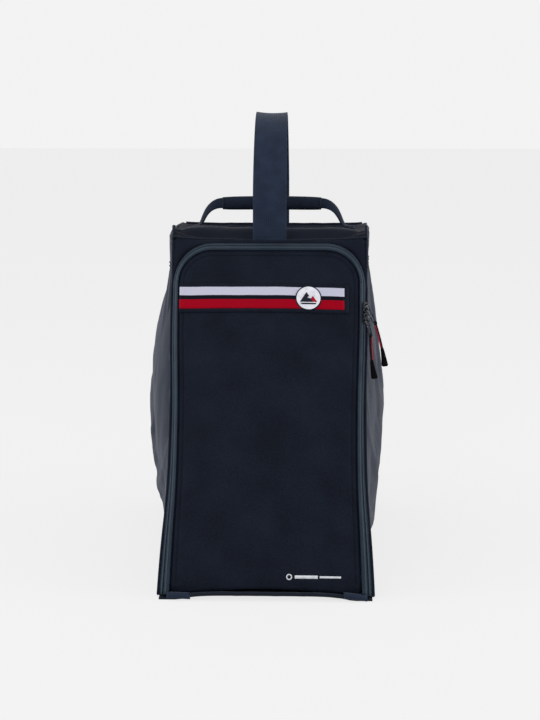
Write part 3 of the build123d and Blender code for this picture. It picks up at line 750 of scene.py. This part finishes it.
def make_zipper():
    outer = tape_rows(SLIT_SHARE + GAP_SHARE, 1.0, lambda k: 0.9 * (1 - k) ** 2 - 0.4)
    tape = sheet("zipper_tape_shell", outer, TAPE_CLOTH, TAPE_THICK, side=1.0)
    settle(tape, "bag", "zipper_tape", "zip_tape_outer")
    inner = tape_rows(SLIT_SHARE - GAP_SHARE, 0.05, lambda k: 0.9 * (1 - k) ** 2 - 0.4)
    tape = sheet("zipper_tape_flap", inner, TAPE_CLOTH, TAPE_THICK, side=-1.0)
    settle(tape, "flap", "zipper_tape", "zip_tape_flap")
    for name, body, shift in (("shell", "bag", 1.5), ("flap", "flap", -1.5)):
        line = [s.at(SLIT_SHARE + shift * GAP_SHARE, -0.9) for s in STATIONS]
        node = "zip_coil_outer" if body == "bag" else "zip_coil_flap"
        turns = repeated(f"zipper_coil_{name}", [line], COIL_TURNS, COIL, **COIL_SIZE)
        settle(turns, body, "nylon_coil", node)
    rows = [[s.at(0.95, 0.45) for s in STATIONS]]
    stitches("zipper_stitching", rows, "bag", spacing=2.8, length=1.9, radius=0.36)


# ============================================================ bindings and tabs
# The width and height of the binding over each seam
BACK_CORNER, BASE_SIDE, FRONT_CORNER = (3.2, 3.0), (2.4, 3.4), (2.2, 2.2)
TOP_FRONT, TOP_BACK, BASE_FRONT, BASE_BACK = (2.0, 1.6), (3.0, 2.8), (5.0, 4.0), (3.0, 3.4)
BASE_IN = 2.2


def binding(name, path, up, width, height, *nodes):
    line = spaced(path, 4.0)
    wobble = [0.35 * ripple(*point, 14.0, 1.7) for point in line]
    line = line + np.array(up) * np.array(wobble)[:, None]
    obj = swept(name, line, up, rounded_section(width, height, min(width, height) * 0.42), BINDING)
    return settle(obj, "bag", "binding_tape", *nodes)


def make_bindings():
    for side, name in ((-1, "left"), (1, "right")):
        make_flange(side, name)
        path = [back_seam(side, z) + np.array([0, 1.4, 0]) for z in np.linspace(4, TOP_Z - back_sag(1.0), 30)]
        binding(f"back_seam_{name}", path, [side, 0, 0], *BACK_CORNER, f"back_binding_{name}")
        path = []
        for y in np.linspace(FRONT_Y + 16, BACK_Y, 30):
            path.append(np.array([side * (SEAM_X - BASE_IN + BASE_FLARE * smooth((y - FRONT_Y) / 90)), y, 1.8]))
        binding(f"base_seam_{name}", path, [0, 0, 1], *BASE_SIDE, f"bottom_binding_{name}")
        path = [side_seam(side, z) + SLOPE_OUT * 0.4 for z in np.linspace(7, TOP_Z - 3, 90)]
        piping = binding(f"front_corner_piping_{name}", path, SLOPE_OUT, *FRONT_CORNER)
        # The corner piping takes the lighter side copy of the navy fabric, so it carries the same painted side light
        piping.data.materials[0] = LIT_SIDE_CLOTH
        corner = side_seam(side, 1.0)
        bend = [side_seam(side, z) + SLOPE_OUT * 0.2 for z in (34.0, 14.0)]
        for inward, back, up in ((1.8, 0.4, 4.5), (4.5, -0.4, 2.0), (12.0, 0.6, 2.2)):
            bend.append(corner + np.array([-side * inward, back, up]))

        def corner_section(share):
            grown = 2.0 + 3.0 * smooth(share * 2.2)
            return rounded_section(grown, grown * 0.8, grown * 0.34)

        lump = swept(f"corner_bind_{name}", rounded_path(bend, 1.5), SLOPE_OUT, corner_section, BINDING)
        settle(lump, "bag", "binding_tape")
    xs = np.linspace(-SEAM_X + 6, SEAM_X - 6, 50)
    path = [top_edge_front(x) + np.array([0, -0.2, 0.1]) for x in xs]
    binding("top_seam_front", path, SLOPE_OUT, *TOP_FRONT, "top_binding_front")
    path = [np.array([x, BACK_Y, TOP_Z + 0.6 - back_sag(x / SEAM_X)]) for x in xs]
    binding("top_seam_back", path, [0, 0, 1], *TOP_BACK, "top_binding_back")
    path = [np.array([x, BACK_Y + 1.2, 2.2]) for x in xs]
    binding("base_seam_back", path, [0, 0, 1], *BASE_BACK, "bottom_binding_back")
    xs = np.linspace(-90, 90, 50)
    path = [np.array([x, FRONT_Y + 3.0, 2.4 + base_arch(x, FRONT_Y)]) for x in xs]
    binding("base_seam_front", path, [0, 0, 1], *BASE_FRONT, "bottom_binding_front")


def make_flange(side, name):
    """The seam allowance that stands up along a side of the top, tallest at the front corner."""
    start = top_edge_front(side * along(SEAM_HALF, SHELL_TOP)) + np.array([side * 0.4, -0.8, -10.0])
    end = np.array([side * (SEAM_X - 1.5), BACK_Y, TOP_Z - 15.0])
    rows = []
    for k in np.linspace(0, 1, 60):
        base = start + (end - start) * k
        tall = 10.0 + 9.0 * math.exp(-((k / 0.1) ** 2)) + 3.6 * math.exp(-(((k - 0.05) / 0.2) ** 2))
        tall += 1.0 * ripple(k * 90, side * 8, 0, 9.0)
        sway = side * (1.2 * ripple(k * 120, 0, side * 5, 16.0) - 1.6 * math.exp(-((k / 0.03) ** 2)))
        lean = 0.22 * (1 - k)
        top = np.array([sway - side * 0.5, tall * lean, tall])
        rows.append([base + top * q for q in np.linspace(0, 1, 8)])
    flange = sheet(f"top_flange_{name}", rows, LIT_SIDE_CLOTH, 2.4, side=0.0)
    settle(flange, "bag", "grey_blue_side_fabric", f"top_binding_{name}")
    line = [row[-2] + np.array([side * 1.5, 0, -2.2]) for row in rows[2:]]
    stitches(f"top_flange_stitching_{name}", [line], "bag", spacing=2.8, length=1.9, radius=0.34)


def make_tabs():
    """A folded webbing tab over each lower end of the zipper, sewn a little askew."""
    for side, name, tilt, inward in ((-1, "left", 0.04, 9.0), (1, "right", -0.11, 6.0)):
        box_low, box_high = low(f"zip_end_tab_{name}"), high(f"zip_end_tab_{name}")
        box_low[0] -= side * inward
        box_high[0] -= side * inward
        middle = (box_low + box_high) / 2
        rows = []
        for turn in np.linspace(-0.9, 0.9, 15):
            angle = turn * math.pi / 2
            y = middle[1] - 3.0 * math.cos(angle)
            z = middle[2] + 2.0 + 2.9 * math.sin(angle)
            xs = np.linspace(box_low[0], box_high[0], 10)
            rows.append([np.array([x, y, z + side * tilt * (x - middle[0])]) for x in xs])
        for back in (2.0, 5.0):
            rows.append([point + np.array([0, back, 0]) for point in rows[14]])
        tab = sheet(f"zip_end_tab_cloth_{name}", rows, WEBBING, TAB_THICK)
        settle(tab, "bag", "webbing", f"zip_end_tab_{name}")


# ============================================================ flap
def flap_half(w):
    return FOLD_X + along(FOLD_SHIFT, w)


def flap_edge_distance(u, w):
    """How far inside the fold a point of the flap lies."""
    half = flap_half(w)
    inner_u, inner_w = half - FOLD_RADIUS, FOLD_TOP - FOLD_RADIUS
    if abs(u) > inner_u and w > inner_w:
        return FOLD_RADIUS - math.hypot(abs(u) - inner_u, w - inner_w)
    return min(half - abs(u), FOLD_TOP - w)


def flap_out(u, w):
    """How far the flap's outer face stands out of the front plane."""
    half, edge = flap_half(w), max(0.0, flap_edge_distance(u, w))
    crown = FLAP_CROWN * (1 - abs(u / half) ** 2.4)
    crown *= min(1.0, 4.5 * (1 - w / FOLD_TOP) + 0.12) * min(1.0, w / 70 + 0.15)
    roll = -3.2 * (1 - smooth(edge / 3.2)) ** 1.4
    groove = -0.5 * math.exp(-(((edge - 6.5) / 1.6) ** 2))
    under = -9.0 * (1 - smooth(w / 26.0)) ** 1.6
    folds = 2.3 * ripple(u * 0.8, 0, w * 0.35, 44.0, 9.0) * smooth(edge / 24) * min(1.0, w / 60)
    folds += 1.3 * ripple(u, 0, w * 0.8, 27.0, 4.0) * smooth(edge / 16) * smooth((w - 180) / 120)
    pucker = 0.32 * math.sin(w / 3.4 + 3 * ripple(u, 0, w, 26.0)) * math.exp(-(((edge - 9) / 6.0) ** 2))
    return crown + roll + groove + under + folds + pucker


FLAP_SHIFT = []  # how far each point of the settled flap moved out, by climb and column
FLAP_COLUMNS = np.sin(np.linspace(-math.pi / 2, math.pi / 2, 96))
FLAP_CLIMBS = np.concatenate([np.linspace(0, 0.86, 90)[:-1], 0.86 + 0.14 * np.sin(np.linspace(0, math.pi / 2, 30))])


def flap_surface(u, w):
    """How far the settled flap stands out at a place."""
    base = flap_out(u, w)
    if FLAP_SHIFT:
        a = u / flap_half(w)
        bottom = flap_low(a * FOLD_X)
        column = float(np.interp(a, FLAP_COLUMNS, range(len(FLAP_COLUMNS))))
        climb = float(np.interp((w - bottom) / (flap_top(a) - bottom), FLAP_CLIMBS, range(len(FLAP_CLIMBS))))
        i, j = min(int(climb), len(FLAP_CLIMBS) - 2), min(int(column), len(FLAP_COLUMNS) - 2)
        grid, x, y = FLAP_SHIFT[0], climb - i, column - j
        near = grid[i, j] * (1 - x) * (1 - y) + grid[i + 1, j] * x * (1 - y)
        base += near + grid[i, j + 1] * (1 - x) * y + grid[i + 1, j + 1] * x * y
    return base


def on_flap(u, w, off=0.0):
    return front(u, w, flap_surface(u, w) + off)


def flap_top(a):
    """The flap's upper edge, at a share a of the way across."""
    over = max(0.0, abs(a) * FOLD_X - (FOLD_X - FOLD_RADIUS))
    return FOLD_TOP - FOLD_RADIUS + math.sqrt(max(0.0, FOLD_RADIUS**2 - over**2))


def flap_low(u):
    return FLAP_LOW - 1.0 + 7.0 * (1 - min(1.0, abs(u) / 92.0) ** 2)


def make_flap():
    rows = []
    for climb in FLAP_CLIMBS:
        row = []
        for a in FLAP_COLUMNS:
            bottom = flap_low(a * FOLD_X)
            w = bottom + (flap_top(a) - bottom) * climb
            row.append(front(a * flap_half(w), w, flap_out(a * flap_half(w), w)))
        rows.append(row)
    shaped = np.array(settled(rows, slack=0.006, pressure=0.6, cap=2.0))
    FLAP_SHIFT.append((shaped - np.array(rows)) @ SLOPE_OUT)
    settle(sheet("flap_cloth", shaped, SHELL_CLOTH, 1.2, side=-1.0), "flap", "navy_ripstop", "flap_panel")
    lining = []
    for w in np.linspace(18, FOLD_TOP - 12, 40):
        half = flap_half(w) - 10
        over = max(0.0, w - (FOLD_TOP - 12 - 28))
        half -= 28 - math.sqrt(max(0.0, 28**2 - min(28, over) ** 2))
        lining.append([front(a * half, w, flap_surface(a * half, w) - 2.6) for a in np.linspace(-1, 1, 30)])
    cloth = sheet("flap_lining_cloth", lining, LINING_CLOTH, LINING_THICK, side=-1.0)
    settle(cloth, "flap", "lining_fabric", "flap_lining")


RIBBON_LOW_W = low("stripe_ribbon")[2] / SLOPE_UP[2]
RIBBON_LEFT = low("stripe_ribbon")[0]
RIBBON_RIGHT = high("stripe_ribbon")[0]


def ribbon_sag(u):
    """The ribbon runs a little lower towards its right end."""
    return -1.6 * (u - RIBBON_LEFT) / (RIBBON_RIGHT - RIBBON_LEFT)


def make_ribbon():
    left, right = RIBBON_LEFT + 1.5, RIBBON_RIGHT
    wide = RIBBON_WIDE
    facing = []
    for u in np.linspace(left - 0.6, right + 5.0, 60):
        facing.append([on_flap(u, RIBBON_LOW_W + ribbon_sag(u) + v, 0.5) for v in np.linspace(-4.2, wide + 4.2, 12)])
    settle(sheet("ribbon_facing", facing, SHELL_CLOTH, 0.7, side=-1.0), "flap", "navy_ripstop")
    rows = []
    for u in np.linspace(left, right, 70):
        rows.append([on_flap(u, RIBBON_LOW_W + ribbon_sag(u) + v, 1.1) for v in np.linspace(0, wide, 14)])
    ribbon = sheet("striped_ribbon", rows, SATIN, 0.5, side=-1.0)
    settle(ribbon, "flap", "striped_ribbon", "stripe_ribbon")
    lines = []
    seams = (-2.6, wide + 2.6)  # just below and just above the ribbon
    for v in seams:
        us = np.linspace(left, right + 4, 80)
        lines.append([on_flap(u, RIBBON_LOW_W + ribbon_sag(u) + v, 0.75) for u in us])
    lines.append([on_flap(right + 3.2, RIBBON_LOW_W + ribbon_sag(right) + v, 0.75) for v in np.linspace(*seams, 12)])
    lines.append([on_flap(left + 3.0, RIBBON_LOW_W + v, 1.25) for v in np.linspace(1, wide - 1, 12)])
    stitches("ribbon_stitching", lines, "flap", spacing=2.6, length=1.8, radius=0.3)
    edge = []
    for station in STATIONS[2:-2]:
        edge.append(on_flap(station.u - station.du * 6.5, station.w - station.dw * 6.5, 0.25))
    stitches("flap_stitching", [edge], "flap", spacing=3.0, length=2.1, radius=0.34)


def plate(name, outline, w0, u0, base, thick, material, bevel=0.2):
    """A flat moulded shape on the flap, from an outline about its own middle."""
    mesh = bpy.data.meshes.new(name)
    shape = bmesh.new()
    lower = [shape.verts.new(on_flap_flat(u0 + u, w0 + w, u0, w0, base) * MM) for u, w in outline]
    shape.faces.new(lower)
    raised = bmesh.ops.extrude_face_region(shape, geom=shape.faces[:])
    shift = Vector(SLOPE_OUT) * thick * MM
    bmesh.ops.translate(shape, vec=shift, verts=[v for v in raised["geom"] if isinstance(v, bmesh.types.BMVert)])
    bmesh.ops.recalc_face_normals(shape, faces=shape.faces)
    shape.to_mesh(mesh)
    shape.free()
    obj = new_object(name, mesh, material)
    for face in mesh.polygons:
        face.use_smooth = False
    edge = obj.modifiers.new("edge", "BEVEL")
    edge.width = bevel * MM
    edge.segments = 2
    edge.limit_method = "ANGLE"
    return baked(obj)


def on_flap_flat(u, w, u0, w0, off):
    """On the plane that touches the flap at (u0, w0)."""
    rise_u = (flap_surface(u0 + 8, w0) - flap_surface(u0 - 8, w0)) / 16
    rise_w = (flap_surface(u0, w0 + 8) - flap_surface(u0, w0 - 8)) / 16
    return front(u, w, flap_surface(u0, w0) + rise_u * (u - u0) + rise_w * (w - w0) + off)


LOW_PEAK = [(0.2, -4.6), (4.8, 2.4), (9.6, -4.6)]
HIGH_PEAK = [(-9.4, -4.6), (-2.2, 6.8), (0.6, 2.4), (-1.4, 0.4), (2.6, -0.6), (5.0, -4.6)]
GROUND = [(-7.6, -7.4), (7.6, -7.4), (8.8, -5.8), (-8.8, -5.8)]
PATCH_RIM = 1.3


def make_badge():
    """A plain round patch with two mountain peaks on it."""
    u0 = (low("badge_patch")[0] + high("badge_patch")[0]) / 2
    w0 = RIBBON_LOW_W + ribbon_sag(u0) + RIBBON_WIDE / 2
    radius = (high("badge_patch")[0] - low("badge_patch")[0]) / 2
    pieces = (
        ("patch_rim", circle(radius), 1.2, 1.1, PATCH_NAVY, 0.35, ("badge_patch",)),
        ("patch_field", circle(radius - PATCH_RIM), 2.25, 0.35, PATCH_WHITE, 0.15, ()),
        ("patch_low_peak", LOW_PEAK, 2.55, 0.4, PATCH_RED, 0.12, ()),
        ("patch_high_peak", HIGH_PEAK, 2.6, 0.45, PATCH_NAVY, 0.12, ()),
        ("patch_ground", GROUND, 2.55, 0.4, PATCH_NAVY, 0.12, ()),
    )
    for name, outline, base, thick, material, bevel, nodes in pieces:
        settle(plate(name, outline, w0, u0, base, thick, material, bevel), "flap", "patch", *nodes)


def circle(radius, count=48):
    turns = np.linspace(0, 2 * math.pi, count, endpoint=False)
    return [(radius * math.cos(a), radius * math.sin(a)) for a in turns]


PRINT_W = 25.6
PRINT_LEFT, PRINT_RIGHT = 25.0, 80.0
RING_INNER, RING_OUTER = 2.0, 3.2
BOLD_TALL, LIGHT_TALL = 3.4, 2.2
PRINT_PROUD = 0.2  # off the flap, so that the print never sinks into a fold


def make_print():
    """A small plain print low on the flap: a ring and two bars."""
    ring = []
    for radius in (RING_INNER, RING_OUTER):
        ring.append([on_flap(PRINT_LEFT + u, PRINT_W + w, PRINT_PROUD) for u, w in circle(radius, 24)])
    settle(sheet("print_ring", ring, INK, 0.15, side=1.0, closed=True), "flap", "patch")
    middle = PRINT_LEFT + 0.55 * (PRINT_RIGHT - PRINT_LEFT)
    bars = (
        ("print_bar_bold", PRINT_LEFT + 6, middle, BOLD_TALL),
        ("print_bar_light", middle + 2, PRINT_RIGHT, LIGHT_TALL),
    )
    for name, start, end, tall in bars:
        rows = []
        for u in np.linspace(start, end, 16):
            rows.append([on_flap(u, PRINT_W + v, PRINT_PROUD) for v in (-tall / 2, 0, tall / 2)])
        settle(sheet(name, rows, INK, 0.15, side=-1.0), "flap", "patch")


# ============================================================ handle and strap
HANDLE_Y = (low("handle_grip")[1] + high("handle_grip")[1]) / 2
GRIP_HALF = high("handle_grip")[0]
GRIP_Z = (low("handle_grip")[2] + high("handle_grip")[2]) / 2
GRIP_TALL = high("handle_grip")[2] - low("handle_grip")[2]
FOOT_OUT = high("handle_webbing")[0] - 3.5
FOOT_Z = TOP_Z + 2.6


def handle_path():
    """From the left foot, up, along the grip and down to the right foot."""
    right = [(0, GRIP_Z), (GRIP_HALF - 2, GRIP_Z), (GRIP_HALF + 6, GRIP_Z - 0.6), (GRIP_HALF + 15, GRIP_Z - 5.5)]
    right += [(FOOT_OUT - 1, GRIP_Z - 14), (FOOT_OUT + 3.5, FOOT_Z + 3)]
    right += [(FOOT_OUT + 8, FOOT_Z), (FOOT_OUT + 17, FOOT_Z - 0.6)]
    points = [(-x, z) for x, z in right[::-1]] + right[1:]
    return rounded_path([np.array([x, HANDLE_Y, z]) for x, z in points], 2.5)


def rounded_path(points, step, rounds=3):
    """Softens a polyline's corners, then spaces it evenly."""
    points = np.array(points, dtype=float)
    for _ in range(rounds):
        a, b = points[:-1], points[1:]
        cut = np.empty((2 * len(a), 3))
        cut[0::2], cut[1::2] = a * 0.75 + b * 0.25, a * 0.25 + b * 0.75
        points = np.vstack([points[:1], cut, points[-1:]])
    return spaced(points, step)


def make_handle():
    path = handle_path()
    _, _, side, above = frames_along(path, [0, 0, 1])
    rows = []
    for i, point in enumerate(path):
        fold = 1 - 0.8 * smooth((abs(point[0]) - GRIP_HALF - 1) / 30.0)
        row = []
        for q in np.linspace(-1, 1, 17):
            flat = np.array([q * 13.0, 0.0])
            bent = np.array([4.2 * math.sin(q * 1.75), 5.6 - 11.0 * abs(q) ** 1.6])
            y, up = flat * (1 - fold) + bent * fold
            row.append(point + y * side[i] + up * above[i])
        rows.append(row)
    webbing = sheet("carry_handle_webbing", rows, HANDLE_WEBBING, HANDLE_THICK, side=0.0)
    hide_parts("handle_webbing", "handle_foot_left", "handle_foot_right")
    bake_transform(webbing)
    for side_name, sign in (("left", -1), ("right", 1)):
        x0, x1 = sign * (FOOT_OUT + 8), sign * (FOOT_OUT + 15)
        z = FOOT_Z + 1.1
        box = [(x0, -10), (x1, -10), (x1, 10), (x0, 10), (x0, -10), (x1, 10)]
        line = spaced([np.array([x, HANDLE_Y + y, z]) for x, y in box], 2.0)
        stitches(f"handle_foot_stitching_{side_name}", [line], "bag", spacing=2.6, length=1.8, radius=0.34)
    grip_path = []
    for x in np.linspace(-GRIP_HALF, GRIP_HALF, 50):
        grip_path.append(np.array([x, HANDLE_Y, GRIP_Z + 0.4 - 0.7 * (x / GRIP_HALF) ** 2]))

    def grip_section(share):
        tight = 1 - 0.1 * abs(2 * share - 1) ** 6
        points = []
        for k in range(28):
            angle = 2 * math.pi * k / 28
            y = 5.6 * math.copysign(abs(math.cos(angle)) ** 0.75, math.cos(angle))
            z = GRIP_TALL / 2 * math.copysign(abs(math.sin(angle)) ** 0.85, math.sin(angle))
            pinch = 1 - 0.35 * smooth((-z - 3) / 5.0)
            points.append((y * tight * pinch, z * tight))
        return points

    grip = swept("carry_handle_grip", grip_path, [0, 0, 1], grip_section, HANDLE_WEBBING)
    settle(grip, "carry_handle", "webbing", "handle_grip")
    rows = [[p + np.array([0, side * 4.6, -5.4]) for p in grip_path[1:-1]] for side in (-1, 1)]
    for x in (-GRIP_HALF + 2.5, GRIP_HALF - 2.5):
        rows.append([np.array([x, HANDLE_Y - 5.4, GRIP_Z + z]) for z in np.linspace(-4.5, 5.5, 8)])
    stitches("grip_stitching", rows, "carry_handle", spacing=2.8, length=2.0, radius=0.34)


STRAP_WIDE = high("strap_webbing")[0] - low("strap_webbing")[0]
STRAP_FRONT_Y, STRAP_BACK_Y = low("strap_webbing")[1] + 1.0, high("strap_webbing")[1] - 1.0
STRAP_TOP = high("strap_webbing")[2] - 4.2


def strap_path():
    """From under the front seam, up, over and down behind the back seam."""
    seam = top_edge_front(0.0)
    start = seam - SLOPE_UP * 2.0 + SLOPE_OUT * 0.8
    radius = (STRAP_BACK_Y - STRAP_FRONT_Y) / 2
    middle = (STRAP_BACK_Y + STRAP_FRONT_Y) / 2
    shoulder = STRAP_TOP - radius
    points = [start, seam + SLOPE_OUT * 1.6 + SLOPE_UP * 2.0, np.array([0, STRAP_FRONT_Y, TOP_Z + 8])]
    for z in np.linspace(TOP_Z + 20, shoulder, 4):
        points.append(np.array([0, STRAP_FRONT_Y + 1.0 * math.sin((z - TOP_Z) / 30), z]))
    for angle in np.linspace(math.pi, 0, 26)[1:-1]:
        points.append(np.array([0, middle + radius * math.cos(angle), shoulder + radius * math.sin(angle)]))
    for z in np.linspace(shoulder, TOP_Z + 8, 4):
        points.append(np.array([0, STRAP_BACK_Y, z]))
    points += [np.array([0, BACK_Y + 3.4, TOP_Z - 2]), np.array([0, BACK_Y + 3.6, TOP_Z - 22])]
    return rounded_path(points, 4.0, 2)


def make_strap():
    path = strap_path()
    side = np.array([1.0, 0, 0])
    _, tangent, _, _ = frames_along(path, side)
    rows = []
    for i, point in enumerate(path):
        out = np.cross(tangent[i], side)
        high_up = smooth((point[2] - TOP_Z - 40) / 100)
        half = STRAP_WIDE / 2 * (1 - 0.045 * high_up)
        twist = 0.05 * math.sin(i / len(path) * math.pi)
        row = []
        for q in np.linspace(-1, 1, 15):
            cup = -1.4 * high_up * q * q
            row.append(point + side * q * half + out * (cup + twist * q * half * 0.3))
        rows.append(row)
    strap = sheet("top_strap_webbing", rows, WEBBING, STRAP_THICK, side=0.0)
    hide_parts("strap_webbing", "strap_foot_front", "strap_foot_back")
    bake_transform(strap)
    seam = top_edge_front(0.0)
    lines = []
    for down in (-3.2, 1.6, 4.4):
        at = seam - SLOPE_UP * down + SLOPE_OUT * (2.9 if down < 0 else 1.3)
        lines.append([at + side * x for x in np.linspace(-17, 17, 12)])
    for down in (4.0, 18.0):
        lines.append([np.array([x, BACK_Y + 4.6, TOP_Z - down]) for x in np.linspace(-17, 17, 12)])
    stitches("strap_stitching", lines, "bag", spacing=2.8, length=2.0, radius=0.36)


# ============================================================ sliders and pulls
def pull_frame(which):
    """The pull's own directions: across, down its length, and off the bag, with its hinge as origin."""
    joint = JOINTS[f"{which}_pull_hinge"]
    origin = np.array(joint["pos_m"]) / MM
    across = -np.array(joint["axis"])
    verts = [v.co for v in frame["nodes"][f"pull_end_{which}"].data.vertices]
    centre = np.array(sum(verts, Vector()) / len(verts)) / MM
    down = centre - origin
    down -= across * np.dot(down, across)
    down /= np.linalg.norm(down)
    off = np.cross(down, across)
    if off[1] > 0:
        off = -off
    off = 0.45 * off + 0.75 * SLOPE_OUT  # the ribbon twists to face the front
    off -= down * np.dot(down, off)
    off /= np.linalg.norm(off)
    across = np.cross(off, down)
    return origin, across * math.copysign(1.0, across[0]), down, off


PULL_RIBBON = (2.6, 1.7, 0.6)  # width, height and corner of each part's section
PULL_PIPING = (0.7, 1.9, 0.3)
PULL_GRIP_LENGTH = 21.5
PULL_GRIP_EXTRA = 3.5  # how far the grip reaches past the CAD part it stands for
EYE_RADIUS = 1.9


def make_pull(which, curl):
    """A folded ribbon from the link's eye to a flared rubber grip, with red piping down one edge."""
    origin, across, down, off = pull_frame(which)
    verts = frame["nodes"][f"pull_end_{which}"].data.vertices
    tip = PULL_GRIP_EXTRA + max(np.dot(np.array(v.co) / MM - origin, down) for v in verts)

    def at(x, y, z):
        bend = curl * math.sin(min(1.0, max(0.0, y / tip)) * math.pi)
        return origin + across * (x + bend) + down * y + off * z

    rows = []
    for angle in np.linspace(-2.5, 2.5, 16):
        y, z = -EYE_RADIUS * math.cos(angle) + 0.2, EYE_RADIUS * math.sin(angle)
        rows.append([at(x, y, z) for x in np.linspace(-1.2, 1.2, 4)])
    loop = sheet(f"pull_eye_{which}", rows, PULL_TAPE, 0.8, side=0.0)
    settle(loop, f"pull_{which}", "pull_ribbon", f"pull_ribbon_{which}")
    body = [at(0, y, 0) for y in np.linspace(1.2, tip - 15, 24)]
    strip = swept(f"pull_ribbon_black_{which}", body, off, rounded_section(*PULL_RIBBON), PULL_TAPE)
    settle(strip, f"pull_{which}", "pull_ribbon")
    red_side = 1 if which == "lower" else -1
    edge = [at(red_side * 1.35, y, 0.1) for y in np.linspace(2.6, tip - 21, 20)]
    piping = swept(f"pull_piping_{which}", edge, off, rounded_section(*PULL_PIPING), RED_EDGE)
    settle(piping, f"pull_{which}", "pull_ribbon")
    line = [at(0, y, 0) for y in np.linspace(tip - PULL_GRIP_LENGTH, tip, 30)]

    def flared(share):
        width = 3.2 + 4.6 * share**1.15
        rib = 0.16 * math.sin(share * 8 * 2 * math.pi)
        rib *= smooth((share - 0.25) / 0.15) * smooth((0.95 - share) / 0.1)
        end = min(1.0, 0.35 + 6 * min(share + 0.02, 1.02 - share))
        return rounded_section(width * min(1.0, end + 0.2), (2.9 + rib) * end, 1.0 * end)

    grip = swept(f"pull_grip_{which}", line, off, flared, RUBBER)
    settle(grip, f"pull_{which}", "pull_rubber", f"pull_end_{which}")


def keep_cad():
    """Gives the CAD nodes that stay their own materials."""
    finishes = {"slider_upper": GUNMETAL, "slider_lower": GUNMETAL, "base_board": BOARD}
    finishes |= {"pull_link_upper": BLACK_WIRE, "pull_link_lower": BLACK_WIRE}
    for name, material in finishes.items():
        node = frame["nodes"][name]
        node.data.materials.clear()
        node.data.materials.append(material)


# ============================================================ studio
FLOOR_REACH = 9000.0
FLOOR_BELOW = 0.4
FLOOR_GLOW = 0.76  # with what falls on it, this makes the floor as pale as the room
ROOM_LIGHT = 0.893
LAMPS = (  # name, place and size in metres, watts
    ("left", (-1.8, -0.35, 0.8), 1.2, 19.0),
    ("right", (1.8, -0.2, 0.8), 1.2, 19.0),
    ("front", (-0.35, -1.2, 1.5), 0.8, 4.0),
)
LAMP_TARGET = Vector((0.0, 0.0, 0.22))


def make_studio():
    """A pale floor in a pale room, a wide soft light on each side and a weak one above the front."""
    reach = np.linspace(-FLOOR_REACH, FLOOR_REACH, 19)
    rows = [[np.array([x, y, -FLOOR_BELOW]) for x in reach] for y in reach]
    material, tree = new_material("studio_paper")
    paper = {"Base_Color": colour("#5a5a5a"), "Roughness": 1.0, "Specular_IOR_Level": 0.0}
    shader = add(tree, "ShaderNodeBsdfPrincipled", **paper, Emission_Color=WHITE, Emission_Strength=FLOOR_GLOW)
    add(tree, "ShaderNodeOutputMaterial", Surface=shader.outputs[0])
    sheet("studio_floor", rows, material, 0)
    world = bpy.data.worlds.new("studio")
    world.use_nodes = True
    world.node_tree.nodes["Background"].inputs[0].default_value = WHITE
    world.node_tree.nodes["Background"].inputs[1].default_value = ROOM_LIGHT
    bpy.context.scene.world = world
    for name, place, size, power in LAMPS:
        lamp = bpy.data.lights.new(f"softbox_{name}", "AREA")
        lamp.size = size
        lamp.energy = power
        obj = bpy.data.objects.new(f"softbox_{name}", lamp)
        obj.location = place
        obj.rotation_euler = (LAMP_TARGET - Vector(place)).to_track_quat("-Z", "Y").to_euler()
        bpy.context.scene.collection.objects.link(obj)
    bpy.context.scene.view_settings.view_transform = "Standard"


CAMERA_BACK = 1594.0  # front edge of the base to the camera
CAMERA_UP = 557.0
CAMERA_PITCH = math.radians(10.58)
CAMERA_LENS = 79.0  # on a 36 mm sensor, measured up the picture
SENSOR = 36.0
CAMERA_TURN = math.radians(-1.5)  # from a little to the right of the middle


def make_camera():
    data = bpy.data.cameras.new("camera")
    data.sensor_fit = "VERTICAL"
    data.sensor_height = data.sensor_width = SENSOR
    data.lens = CAMERA_LENS
    camera = bpy.data.objects.new("camera", data)
    bpy.context.scene.collection.objects.link(camera)
    away = CAMERA_BACK - FRONT_Y
    camera.location = Vector((-away * math.sin(CAMERA_TURN), -away * math.cos(CAMERA_TURN), CAMERA_UP)) * MM
    camera.rotation_euler = (math.pi / 2 - CAMERA_PITCH, 0.0, -CAMERA_TURN)
    bpy.context.scene.camera = camera


make_camera()
make_studio()
make_sides()
make_back()
make_top()
make_base()
make_surround()
make_zipper()
make_bindings()
make_tabs()
make_flap()
make_ribbon()
make_badge()
make_print()
make_handle()
make_strap()
make_pull("upper", 1.2)
make_pull("lower", -1.6)
keep_cad()
